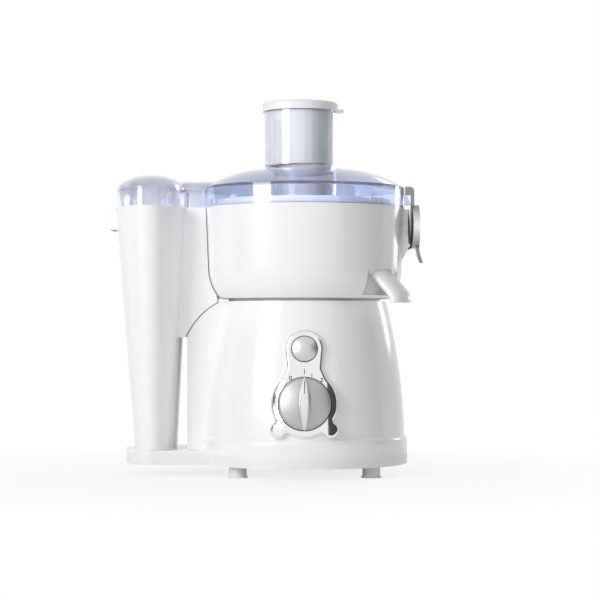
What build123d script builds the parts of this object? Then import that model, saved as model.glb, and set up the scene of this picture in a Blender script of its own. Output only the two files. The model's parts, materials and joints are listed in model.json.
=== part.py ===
from build123d import *
from math import atan, cos, degrees, radians, sin, sqrt, tan
import os

os.makedirs("parts", exist_ok=True)

# Centrifugal juicer, in millimetres, standing on the floor at Z = 0.
# The spindle is upright. The controls face -Y, the pulp bin is on the -X side and the latch on
# the +X side. The origin is the middle of the floor space that the juicer takes up.

# Clearances
FACE_GAP = 0.3
RUN_GAP = 0.05
SLIP_GAP = 0.2
REST_GAP = 1.5

# Feet and base plate
FOOT_HEIGHT = 11.5
FOOT_RADIUS = 9.0
FOOT_LIP = 1.5
FOOT_CHAMFER = 0.9
FOOT_INSET = 17.3
FOOT_ANGLE = 41.4
FOOT_PLUG_RADIUS = 4.0
PLATE_HEIGHT = 11.5
PLATE_FLOOR = 3.0
VENT_COUNT = 16
VENT_LENGTH = 22.0
VENT_WIDTH = 3.0
VENT_RING_RADIUS = 50.0

# Base housing
BASE_WALL = 3.0
PLINTH_STEP = 3.0
PLINTH_HEIGHT = 18.0
PLINTH_ROUND = 7.0
PLINTH_BULGE = 1.0
BODY_FOOT_RADIUS = 105.0
BODY_HEIGHT = 139.0
BODY_BULGE = 4.0
SKIRT_OVERHANG = 4.5
DECK_LEDGE = 6.0
SPIGOT_HEIGHT = 30.0
SPIGOT_ROUND = 3.0
TONGUE_HALF = 48.0
TONGUE_MARGIN = 9.0
TONGUE_THICKNESS = 3.5
WING_HALF = 24.0
WING_REACH = 36.0
WING_DROP = 37.0
WING_BULGE = 5.0
BOSS_RADIUS = 6.0
BOSS_SINK = 1.5
BOSS_HEIGHT = 50.0
BASE_SCREW_RADIUS = 2.0
BASE_SCREW_HEAD_RADIUS = 4.0
BASE_SCREW_HEAD = 1.3
BASE_SCREW_LENGTH = 20.0
BASE_SCREW_ANGLE = 20.0

# Juice bowl
SHADOW_GAP = 3.0
BOWL_WALL = 2.5
BOWL_FLOOR = 2.5
BOWL_RIM_RADIUS = 105.0
BOWL_FLARE = 2.6
BOWL_TUCK = 11.9
BOWL_CORNER_HEIGHT = 32.0
BOWL_CORNER_BULGE = 3.0
BOWL_DEPTH = 68.0
COLLAR_RADIUS = 26.0
COLLAR_WALL = 3.0
COLLAR_HEIGHT = 13.5
LEDGE_DROP = 2.5
LEDGE_THICKNESS = 2.5
LEDGE_WIDTH = 11.0

# Spout, which leaves the bowl to the front right, and the scoop in the bowl's skirt below it
SPOUT_ANGLE = -35.0
SPOUT_HALF_WIDTH = 16.5
SPOUT_HALF_HEIGHT = 7.5
SPOUT_WALL = 2.0
SPOUT_BEND = 12.0
SPOUT_DROP = 6.0
SPOUT_SETBACK = 14.9
SPOUT_OUT = 14.5
SPOUT_FLANGE = 2.5
SPOUT_FLANGE_ANGLE = 14.0
SPOUT_POCKET_ANGLE = 18.0
SCOOP_HALF_ANGLE = 16.0
SCOOP_FLANGE = 3.0

# Lid
LID_WALL = 2.5
LID_HEIGHT = 22.0
SHOULDER_STEP = 1.5
SHOULDER_ROUND = 1.2
CROWN_RISE = 18.0
CROWN_FLAT_RADIUS = 41.0
CROWN_BULGE = 5.0
DOME_DROP = 4.0
DOME_RISE = 17.0
RIDGE_RISE = 10.5
NECK_LENGTH = 17.0
NECK_ROUND = 7.0
NECK_HALF = 24.0
SKIRT_DEPTH = 2.2
SKIRT_THICKNESS = 2.0

# Feed chute and pusher
FEED_RADIUS = 33.4
CHUTE_RADIUS = 37.7
CHUTE_WALL = 2.3
CHUTE_HEIGHT = 62.0
FLARE_HEIGHT = 8.0
FLARE_SHOW = 5.0
FEED_CLEARANCE = 6.5
PUSHER_GAP = 0.6
PUSHER_WALL = 2.2
PUSHER_SETBACK = 5.0
CAP_RADIUS = 40.0
CAP_HEIGHT = 9.0
CAP_PLUG = 6.0
CAP_ROUND = 2.0
TAB_REACH = 5.5
TAB_THICKNESS = 1.6
TAB_HALF = 11.0

# Pulp bin
BIN_HALF_X = 38.0
BIN_HALF_Y = 68.0
BIN_FOOT_HALF_X = 22.0
BIN_FOOT_HALF_Y = 50.0
BIN_FOOT_IN = 4.0
BIN_WALL = 2.2
BIN_FLOOR = 2.5
BIN_BOWL_GAP = 0.8
GRIP_DROP = 4.0
GRIP_REACH = 7.0
GRIP_HEIGHT = 19.0
GRIP_HALF = 20.0
GRIP_WALL = 2.2

# Filter basket
BASKET_PLAY = 2.5
HUB_EDGE = 1.1
HUB_THICKNESS = 3.0
HUB_LIFT = 3.0
HUB_BOSS_RADIUS = 21.0
GRATER_MARGIN = 2.4
GRATER_THICKNESS = 1.0
TOOTH_HEIGHT = 1.6
TOOTH_LENGTH = 4.0
TOOTH_WIDTH = 2.4
TOOTH_PITCH = 11.0
TOOTH_COUNT = 8
TOOTH_STAGGER = 17.0
TOOTH_TAPER = 18.0
SIEVE_FLARE = 17.1
SIEVE_HEIGHT = 47.0
SIEVE_WALL = 1.0
SIEVE_ROWS = 2
SIEVE_SLOTS = 60
SIEVE_SLOT_WIDTH = 1.4
SIEVE_BAND = 4.5
RIM_RING_HEIGHT = 7.0
RIM_RING_WALL = 4.5
RIM_FLANGE = 5.5
RIM_FLANGE_THICKNESS = 2.5

# Drive coupling
COUPLING_RADIUS = 14.0
COUPLING_ROOT_RADIUS = 11.0
COUPLING_TEETH = 8
COUPLING_TOOTH_WIDTH = 5.0
COUPLING_HEIGHT = 16.0
COUPLING_GAP = 1.5
SOCKET_LIFT = 2.5

# Motor
SHAFT_RADIUS = 4.0
MOTOR_CORNERS = 4
CORNER_TURN = 45.0
MOUNT_MARGIN = 8.5
MOUNT_BOSS_RADIUS = 6.5
MOUNT_BOSS_LENGTH = 17.0
MOUNT_BUSH_THICKNESS = 4.0
MOUNT_SCREW_RADIUS = 1.8
MOUNT_SCREW_HEAD_RADIUS = 3.5
MOUNT_SCREW_HEAD = 3.0
BRACKET_THICKNESS = 4.0
BEARING_RADIUS = 11.0
BEARING_HEIGHT = 7.0
BEARING_CUP_WALL = 3.5
BEARING_LIP = 2.5
STATOR_RADIUS = 44.0
STATOR_YOKE = 10.0
STATOR_BORE_RADIUS = 21.2
STATOR_HEIGHT = 40.0
POLE_NECK_HALF = 13.0
POLE_SHOE = 6.0
POLE_SHOE_ANGLE = 55.0
COIL_WIDTH = 7.0
COIL_THICKNESS = 2.6
COIL_OVERHANG = 8.0
ARMATURE_GAP = 0.7
ARMATURE_SLOTS = 12
ARMATURE_SLOT_DEPTH = 9.0
ARMATURE_SLOT_WIDTH = 2.4
WINDING_HEIGHT = 7.0
WINDING_INNER_RADIUS = 9.0
WINDING_OUTER_RADIUS = 19.0
COMMUTATOR_RADIUS = 12.0
COMMUTATOR_HEIGHT = 17.0
COMMUTATOR_GAP = 2.0
COMMUTATOR_GROOVE = 0.8
FAN_RADIUS = 33.0
FAN_HEIGHT = 12.0
FAN_DISC = 1.5
FAN_HUB_RADIUS = 9.0
FAN_BLADES = 10
FAN_BLADE_WIDTH = 1.4
FAN_GAP = 8.0
LEG_RADIUS = 4.0
LEG_CIRCLE = 39.0
BOLT_RADIUS = 2.0
BOLT_HEAD_RADIUS = 3.8
BOLT_HEAD = 3.0
BRUSH_HALF_WIDTH = 3.4
BRUSH_HALF_HEIGHT = 4.4
BRUSH_LENGTH = 18.0
BRUSH_TIP_GAP = 0.3
HOLDER_WALL = 2.0
HOLDER_LENGTH = 20.0
SEAL_RADIUS = 10.0
SEAL_HEIGHT = 7.0
SEAL_BOSS_WALL = 3.0

# Control panel, knob and button
PANEL_Z = 96.6
PANEL_PROUD = 2.0
PANEL_DEPTH = 14.0
PANEL_ROUND = 2.6
PANEL_CORNER = 3.0
KNOB_DROP = 20.0
KNOB_LOBE_RADIUS = 33.5
BUTTON_RISE = 35.0
BUTTON_LOBE_RADIUS = 19.5
PANEL_NECK_HALF = 17.5
PANEL_NECK_RISE = 16.0
TOE_RADIUS = 8.0
TOE_X = 26.5
TOE_DROP = 46.0
DISH_DEPTH = 1.0
KNOB_RADIUS = 26.3
KNOB_DISC = 6.0
KNOB_HEIGHT = 15.0
KNOB_GAP = 0.4
GRIP_BAR_HALF_WIDTH = 6.3
GRIP_BAR_OVERHANG = 1.0
SPINDLE_RADIUS = 3.0
SPINDLE_EMBED = 5.0
BUTTON_RADIUS = 12.5
BUTTON_SKIRT = 8.0
BUTTON_PROUD = 2.0
BUTTON_DOME = 4.0
BUTTON_TRAVEL = 3.0
BUTTON_STEM_RADIUS = 3.0
BUTTON_STEM = 6.0
GUIDE_WALL = 2.5
GUIDE_DEPTH = 6.0
SWITCH_RADIUS = 15.0
SWITCH_DEPTH = 20.0
SWITCH_SEAT = 5.0
PULSE_SWITCH_WIDTH = 34.0
PULSE_SWITCH_HEIGHT = 12.0
PULSE_SWITCH_DEPTH = 11.0
PULSE_POST_RADIUS = 3.0
SWITCH_TAGS = 6
TAG_THICKNESS = 0.8
TAG_WIDTH = 4.0
TAG_LENGTH = 6.0

# Latch, on the bowl's right side
LATCH_HALF = 7.7
PIVOT_DROP = 39.0
PIN_RADIUS = 2.0
LATCH_EYE_RADIUS = 4.3
EAR_NOSE_RADIUS = 3.2
EAR_THICKNESS = 3.0
EAR_SHOULDER_OUT = 4.5
EAR_DROP = 1.0
EAR_FOOT_DROP = 57.0
DISC_RADIUS = 23.0
DISC_RIM = 8.3
DISC_CROWN = 2.0
DISC_DROP = 19.0
ARM_THICKNESS = 3.3
HOOK_TIP_OUT = 1.3
HOOK_THICKNESS = 8.2
HOOK_ROUND = 5.0
TAIL_OUT = 19.8
TAIL_DROP = 57.0
TAIL_THICKNESS = 3.4
TAIL_HALF = 6.0
LUG_HALF = 6.5
LUG_LOW = 3.0
LUG_TOP = 14.4
LUG_FOOT_OUT = 6.9
LUG_TOP_OUT = 3.0

# Cord gland at the back
GLAND_RISE = 28.0
GLAND_RADIUS = 5.5
GLAND_FLANGE_RADIUS = 8.0
GLAND_FLANGE = 2.0
GLAND_BORE_RADIUS = 3.4

# Heights that follow from the sizes above
SEAM_Z = FOOT_HEIGHT + PLATE_HEIGHT
PLINTH_Z = SEAM_Z + PLINTH_HEIGHT
DECK_Z = PLINTH_Z + BODY_HEIGHT
SPIGOT_Z = DECK_Z + SPIGOT_HEIGHT
TONGUE_Z = SEAM_Z + TONGUE_THICKNESS
BOWL_FOOT_Z = DECK_Z + SHADOW_GAP
FLOOR_Z = SPIGOT_Z + BOWL_FLOOR
COLLAR_Z = FLOOR_Z + COLLAR_HEIGHT
RIM_Z = SPIGOT_Z + BOWL_DEPTH
LEDGE_Z = RIM_Z - LEDGE_DROP
SHOULDER_Z = RIM_Z + LID_HEIGHT
CROWN_Z = SHOULDER_Z + CROWN_RISE
CHUTE_Z = CROWN_Z + CHUTE_HEIGHT
HUB_Z = COLLAR_Z + HUB_LIFT
BASKET_Z = HUB_Z + HUB_THICKNESS
GRATER_Z = BASKET_Z + GRATER_THICKNESS
FEED_Z = GRATER_Z + TOOTH_HEIGHT + FEED_CLEARANCE
PUSHER_Z = FEED_Z + PUSHER_SETBACK
SIEVE_Z = BASKET_Z + SIEVE_HEIGHT
COUPLING_Z = SPIGOT_Z + COUPLING_GAP
MOUNT_Z = SPIGOT_Z - BASE_WALL - MOUNT_BOSS_LENGTH
UPPER_BRACKET_Z = MOUNT_Z - MOUNT_BUSH_THICKNESS - BRACKET_THICKNESS
FAN_Z = UPPER_BRACKET_Z - FAN_GAP - FAN_HEIGHT
STATOR_TOP_Z = FAN_Z - COIL_OVERHANG - COMMUTATOR_GAP
STATOR_Z = STATOR_TOP_Z - STATOR_HEIGHT
COMMUTATOR_Z = STATOR_Z - WINDING_HEIGHT - COMMUTATOR_GAP - COMMUTATOR_HEIGHT
LOWER_BRACKET_Z = COMMUTATOR_Z - HOLDER_WALL - BRACKET_THICKNESS
SHAFT_Z = LOWER_BRACKET_Z - BEARING_HEIGHT - BEARING_LIP
BRUSH_Z = COMMUTATOR_Z + COMMUTATOR_HEIGHT / 2
SEAL_Z = SPIGOT_Z - SEAL_HEIGHT - FACE_GAP
WAIST_Z = BOWL_FOOT_Z + BOWL_CORNER_HEIGHT
FLARE_Z = CROWN_Z - FLARE_HEIGHT + FLARE_SHOW
PUSHER_STEP_Z = FLARE_Z + FLARE_HEIGHT + PUSHER_GAP
GRIP_Z = RIM_Z - GRIP_DROP - GRIP_HEIGHT

# Distances from the spindle that follow from the sizes above
BOWL_WAIST_RADIUS = BOWL_RIM_RADIUS - BOWL_FLARE
BOWL_FOOT_RADIUS = BOWL_WAIST_RADIUS - BOWL_TUCK
BODY_TOP_RADIUS = BOWL_FOOT_RADIUS - SKIRT_OVERHANG
SPIGOT_RADIUS = BODY_TOP_RADIUS - DECK_LEDGE
PLINTH_RADIUS = BODY_FOOT_RADIUS + PLINTH_STEP
LEDGE_INNER_RADIUS = BOWL_RIM_RADIUS - LEDGE_WIDTH
SPOUT_ROOT_RADIUS = BOWL_WAIST_RADIUS - SPOUT_SETBACK
SPOUT_REACH = BOWL_RIM_RADIUS + SPOUT_OUT
RIM_RING_RADIUS = LEDGE_INNER_RADIUS - BASKET_PLAY
SIEVE_TOP_RADIUS = RIM_RING_RADIUS - REST_GAP - SIEVE_WALL
SIEVE_FOOT_RADIUS = SIEVE_TOP_RADIUS - SIEVE_FLARE
HUB_RADIUS = SIEVE_FOOT_RADIUS + HUB_EDGE
GRATER_RADIUS = SIEVE_FOOT_RADIUS - GRATER_MARGIN
TOOTH_RINGS = int((GRATER_RADIUS - TOOTH_LENGTH) / TOOTH_PITCH)
BIN_X = -(BOWL_RIM_RADIUS + NECK_LENGTH + BIN_HALF_X)
BIN_FOOT_X = BIN_X + BIN_FOOT_IN
WING_X = -(BODY_TOP_RADIUS + WING_REACH)
BASE_SCREW_CIRCLE = BODY_FOOT_RADIUS - BASE_WALL - BOSS_RADIUS + BOSS_SINK
FOOT_CIRCLE = PLINTH_RADIUS - FOOT_INSET
FOOT_X = FOOT_CIRCLE * cos(radians(FOOT_ANGLE))
FOOT_Y = FOOT_CIRCLE * sin(radians(FOOT_ANGLE))
MOUNT_CIRCLE = SPIGOT_RADIUS - BASE_WALL - MOUNT_BOSS_RADIUS - MOUNT_MARGIN
LUG_X = BOWL_RIM_RADIUS + LUG_FOOT_OUT
ARM_X = LUG_X + FACE_GAP
DISC_X = ARM_X
PIVOT_X = ARM_X - FACE_GAP - EAR_NOSE_RADIUS
PIVOT_Z = RIM_Z - PIVOT_DROP
DISC_Z = RIM_Z - DISC_DROP
HOOK_Z = RIM_Z + LUG_TOP + FACE_GAP
CHUTE_X = FEED_RADIUS - CHUTE_RADIUS
HOOK_TIP_X = BOWL_RIM_RADIUS + HOOK_TIP_OUT
HOLDER_X = COMMUTATOR_RADIUS + REST_GAP + HOLDER_LENGTH / 2
POLE_SHOE_RADIUS = STATOR_BORE_RADIUS + POLE_SHOE
COIL_Y = sqrt(POLE_SHOE_RADIUS**2 - POLE_NECK_HALF**2) + FACE_GAP
PUSHER_LOW_RADIUS = FEED_RADIUS - CHUTE_WALL - PUSHER_GAP - SLIP_GAP
PUSHER_HIGH_RADIUS = CHUTE_RADIUS - CHUTE_WALL - PUSHER_GAP
GRIP_BAR_REACH = KNOB_RADIUS + GRIP_BAR_OVERHANG
SWITCH_FACE = PANEL_PROUD + BASE_WALL + SWITCH_SEAT
PULSE_SWITCH_SEAT = BUTTON_SKIRT + BUTTON_STEM + BUTTON_TRAVEL + FACE_GAP


def body_radius(height):
    """Outer radius of the bulged flank at a height, by the parabola close to its arc."""
    share = (height - PLINTH_Z) / BODY_HEIGHT
    straight = BODY_FOOT_RADIUS + share * (BODY_TOP_RADIUS - BODY_FOOT_RADIUS)
    return straight + BODY_BULGE * (1 - (2 * share - 1) ** 2)


def body_lean(height):
    """Lean of the bulged flank at a height, in degrees from upright."""
    share = (height - PLINTH_Z) / BODY_HEIGHT
    run = BODY_FOOT_RADIUS - BODY_TOP_RADIUS + 4 * BODY_BULGE * (2 * share - 1)
    return degrees(atan(run / BODY_HEIGHT))


PANEL_TILT = body_lean(PANEL_Z)

# Place of the gland: clear of the flank at the flange's foot and at its top
GLAND_Z = SEAM_Z + GLAND_RISE
GLAND_FOOT = body_radius(GLAND_Z - GLAND_FLANGE_RADIUS)
GLAND_TOP = body_radius(GLAND_Z + GLAND_FLANGE_RADIUS)
GLAND_STAND = max(GLAND_FOOT, GLAND_TOP) + FACE_GAP

# Reaches from the spindle, which put the origin under the middle of the juicer
PANEL_STAND = body_radius(PANEL_Z) + PANEL_PROUD
KNOB_LEAN = (KNOB_DROP + GRIP_BAR_REACH) * sin(radians(PANEL_TILT))
KNOB_FRONT = PANEL_STAND + KNOB_LEAN + KNOB_HEIGHT * cos(radians(PANEL_TILT))
AXIS_X = (-BIN_X + BIN_HALF_X + GRIP_REACH - BOWL_RIM_RADIUS - TAIL_OUT) / 2
AXIS_Y = (KNOB_FRONT - PLINTH_RADIUS) / 2

SPINDLE = Axis((AXIS_X, AXIS_Y, 0), (0, 0, 1))


def level(height, x=0, y=0):
    """Horizontal plane at a height, centred x and y from the spindle."""
    return Plane(origin=(AXIS_X + x, AXIS_Y + y, height))


def radial(angle):
    """Upright plane through the spindle: local x runs outward at the angle, local y is height."""
    outward = (cos(radians(angle)), sin(radians(angle)), 0)
    across = (sin(radians(angle)), -cos(radians(angle)), 0)
    return Plane(origin=(AXIS_X, AXIS_Y, 0), x_dir=outward, z_dir=across)


def upright(y=0):
    """Upright plane facing the front, y behind the spindle: local x is +X, local y is height."""
    return Plane(origin=(AXIS_X, AXIS_Y + y, 0), x_dir=(1, 0, 0), z_dir=(0, -1, 0))


def panel_face(rise=0, depth=0):
    """Plane of the control panel's front face, rise up along it and depth behind it."""
    tilt = radians(PANEL_TILT)
    y = AXIS_Y - PANEL_STAND + rise * sin(tilt) + depth * cos(tilt)
    z = PANEL_Z + rise * cos(tilt) - depth * sin(tilt)
    return Plane(origin=(AXIS_X, y, z), x_dir=(1, 0, 0), z_dir=(0, -cos(tilt), sin(tilt)))


def panel_section(rise):
    """Plane square to the panel: local x is +X, local y runs out of the panel, rise up along it."""
    tilt = radians(PANEL_TILT)
    return Plane(origin=panel_face(rise).origin, x_dir=(1, 0, 0), z_dir=(0, -sin(tilt), -cos(tilt)))


def gland_plane(out=0):
    """Upright plane at the back of the housing, where the cord gland sits, facing +Y."""
    return Plane(origin=(AXIS_X, AXIS_Y + GLAND_STAND + out, GLAND_Z), x_dir=(-1, 0, 0), z_dir=(0, 1, 0))


# Solids that more than one piece is cut by or made from


def base_body(inset):
    """Plinth and bulged flank as one turned solid, drawn in by inset."""
    top = DECK_Z - inset
    with BuildPart() as body:
        with BuildSketch(upright()):
            with BuildLine():
                Polyline(
                    (BODY_TOP_RADIUS - inset, top),
                    (0, top),
                    (0, SEAM_Z),
                    (PLINTH_RADIUS - inset, SEAM_Z),
                    (PLINTH_RADIUS - inset, PLINTH_Z - PLINTH_ROUND),
                )
                shoulder = (BODY_FOOT_RADIUS - inset, PLINTH_Z)
                SagittaArc((PLINTH_RADIUS - inset, PLINTH_Z - PLINTH_ROUND), shoulder, -PLINTH_BULGE)
                SagittaArc(shoulder, (BODY_TOP_RADIUS - inset, top), -BODY_BULGE)
            make_face()
        revolve(axis=SPINDLE)
    return body.part


def wing_body(grow, half):
    """Wing between the body and the bin, with its profile grown outward, half wide each way."""
    foot = WING_X - grow
    with BuildPart() as wing:
        with BuildSketch(upright()):
            with BuildLine():
                top = (-BODY_TOP_RADIUS, DECK_Z + grow)
                knee = (foot, DECK_Z - WING_DROP + grow / 2)
                Polyline(knee, (foot, SEAM_Z), (-BODY_TOP_RADIUS / 2, SEAM_Z))
                Polyline((-BODY_TOP_RADIUS / 2, SEAM_Z), (-BODY_TOP_RADIUS / 2, DECK_Z + grow), top)
                SagittaArc(knee, top, WING_BULGE)
            make_face()
        extrude(amount=half, both=True)
    return wing.part


def plinth_outline(inset):
    """Outline of the foot of the base: a circle, and the tongue that carries the bin."""
    tongue_end = BIN_FOOT_HALF_X + TONGUE_MARGIN - inset
    Circle(PLINTH_RADIUS - inset)
    with Locations((BIN_FOOT_X / 2, 0)):
        Rectangle(-BIN_FOOT_X, 2 * (TONGUE_HALF - inset))
    with Locations((BIN_FOOT_X, 0)):
        Ellipse(tongue_end, TONGUE_HALF - inset)


def lid_outline(inset):
    """Outline of the lid: bowl circle, bin ellipse and the neck between them, with rounded corners."""
    Circle(BOWL_RIM_RADIUS - inset)
    with Locations((BIN_X, 0)):
        Ellipse(BIN_HALF_X - inset, BIN_HALF_Y - inset)
    with Locations((BIN_X / 2, 0)):
        Rectangle(-BIN_X, 2 * (NECK_HALF - inset))


def lid_envelope(inset):
    """Lid as a solid lump, drawn in by inset: walls, bowl crown, bin dome and neck ridge."""
    shoulder = SHOULDER_Z - inset
    eaves = shoulder - DOME_DROP
    step = inset + SHOULDER_STEP
    with BuildPart() as envelope:
        with BuildSketch(level(RIM_Z)):
            Circle(BOWL_RIM_RADIUS - inset)
        extrude(amount=shoulder - RIM_Z)
        fillet(envelope.faces().sort_by(Axis.Z)[-1].edges(), SHOULDER_ROUND)
        with BuildSketch(level(RIM_Z)) as walls:
            lid_outline(inset)
            corners = [v for v in walls.vertices() if abs(abs(v.Y) - NECK_HALF + inset) < 0.01]
            fillet(corners, NECK_ROUND + inset)
        extrude(amount=eaves - RIM_Z)
        with BuildSketch(upright()):
            with BuildLine():
                rim = (BOWL_RIM_RADIUS - step, shoulder)
                crown = (CROWN_FLAT_RADIUS - inset, CROWN_Z - inset)
                SagittaArc(rim, crown, -CROWN_BULGE)
                Polyline(crown, (0, CROWN_Z - inset), (0, shoulder), rim)
            make_face()
        revolve(axis=SPINDLE)
        ridge = Plane(origin=(AXIS_X + BIN_X, AXIS_Y, eaves), x_dir=(0, 1, 0), z_dir=(1, 0, 0))
        with BuildSketch(ridge):
            with BuildLine():
                side = NECK_HALF - step
                ThreePointArc((-side, 0), (0, RIDGE_RISE), (side, 0))
                Line((side, 0), (-side, 0))
            make_face()
        extrude(amount=-BIN_X)
        dome_size = (BIN_HALF_X - step, BIN_HALF_Y - step, DOME_RISE)
        dome = scale(Sphere(1, mode=Mode.PRIVATE), by=dome_size, mode=Mode.PRIVATE)
        add(level(eaves, BIN_X) * dome)
    return envelope.part


def chute_form(inset):
    """Feed tube, flare and chute as a solid lump, drawn in by inset and open at both ends."""
    low = FEED_RADIUS - inset
    high = CHUTE_RADIUS - inset
    with BuildPart() as chute:
        with BuildSketch(level(FEED_Z)):
            Circle(low)
        extrude(amount=FLARE_Z - FEED_Z)
        with BuildSketch(level(FLARE_Z)):
            Circle(low)
        with BuildSketch(level(FLARE_Z + FLARE_HEIGHT, CHUTE_X)):
            Circle(high)
        loft()
        with BuildSketch(level(FLARE_Z + FLARE_HEIGHT, CHUTE_X)):
            Circle(high)
        extrude(amount=CHUTE_Z - FLARE_Z - FLARE_HEIGHT)
    return chute.part


def spout_tube(inset):
    """Oval spout as a solid lump, drawn in by inset: a sloping run from the trough, then a drop."""
    start_z = FLOOR_Z + SPOUT_HALF_HEIGHT / 2
    corner_z = start_z - SPOUT_REACH + SPOUT_ROOT_RADIUS
    section = radial(SPOUT_ANGLE)
    start = section.from_local_coords((SPOUT_ROOT_RADIUS, start_z, 0))
    downhill = section.from_local_coords((SPOUT_ROOT_RADIUS + 1, start_z - 1, 0)) - start
    with BuildPart() as tube:
        with BuildLine(section):
            FilletPolyline(
                (SPOUT_ROOT_RADIUS, start_z),
                (SPOUT_REACH, corner_z),
                (SPOUT_REACH, corner_z - SPOUT_DROP),
                radius=SPOUT_BEND,
            )
        with BuildSketch(Plane(origin=start, x_dir=section.z_dir, z_dir=downhill)):
            Ellipse(SPOUT_HALF_WIDTH - inset, SPOUT_HALF_HEIGHT - inset)
        sweep()
    return tube.part


def coupling_outline(grow):
    """Toothed outline of the drive coupling, grown outward."""
    Circle(COUPLING_ROOT_RADIUS + grow)
    with PolarLocations(COUPLING_RADIUS / 2, COUPLING_TEETH):
        Rectangle(COUPLING_RADIUS + 2 * grow, COUPLING_TOOTH_WIDTH + 2 * grow)


def base_screw_pattern(radius):
    """Circles at the places of the base screws."""
    for angle in (BASE_SCREW_ANGLE, 180 - BASE_SCREW_ANGLE, 180 + BASE_SCREW_ANGLE, -BASE_SCREW_ANGLE):
        with PolarLocations(BASE_SCREW_CIRCLE, 1, angle):
            Circle(radius)


def bowl_form(grow):
    """Outside of the bowl as a turned lump, grown outward."""
    foot = (BOWL_FOOT_RADIUS + grow, BOWL_FOOT_Z - grow)
    waist = (BOWL_WAIST_RADIUS + grow, WAIST_Z)
    with BuildPart() as form:
        with BuildSketch(upright()):
            with BuildLine():
                SagittaArc(foot, waist, -BOWL_CORNER_BULGE)
                Polyline(waist, (BOWL_RIM_RADIUS + grow, RIM_Z), (0, RIM_Z))
                Polyline((0, RIM_Z), (0, BOWL_FOOT_Z - grow), foot)
            make_face()
        revolve(axis=SPINDLE)
    return form.part


def bin_form(inset, floor):
    """Pulp bin as a solid lump, drawn in by inset: tapered cup, and the neck that hugs bowl and wing."""
    neck_end = BOWL_FOOT_RADIUS + BIN_BOWL_GAP + inset
    with BuildPart() as form:
        with BuildSketch(level(floor, BIN_FOOT_X)):
            Ellipse(BIN_FOOT_HALF_X - inset, BIN_FOOT_HALF_Y - inset)
        with BuildSketch(level(RIM_Z - FACE_GAP, BIN_X)):
            Ellipse(BIN_HALF_X - inset, BIN_HALF_Y - inset)
        loft(ruled=True)
        with BuildSketch(level(RIM_Z - FACE_GAP, (BIN_X - neck_end) / 2)):
            Rectangle(-BIN_X - neck_end, 2 * (NECK_HALF - inset))
        extrude(amount=-(RIM_Z - DECK_Z + WING_DROP))
        add(wing_body(REST_GAP + inset, WING_HALF + BIN_HALF_Y), mode=Mode.SUBTRACT)
        add(bowl_form(BIN_BOWL_GAP + inset), mode=Mode.SUBTRACT)
    return form.part


# Base housing

housing_hollow = base_body(BASE_WALL)
wing_hollow = wing_body(-BASE_WALL, WING_HALF - BASE_WALL)
housing_shell = base_body(0)
wing_shell = wing_body(0, WING_HALF)

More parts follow.
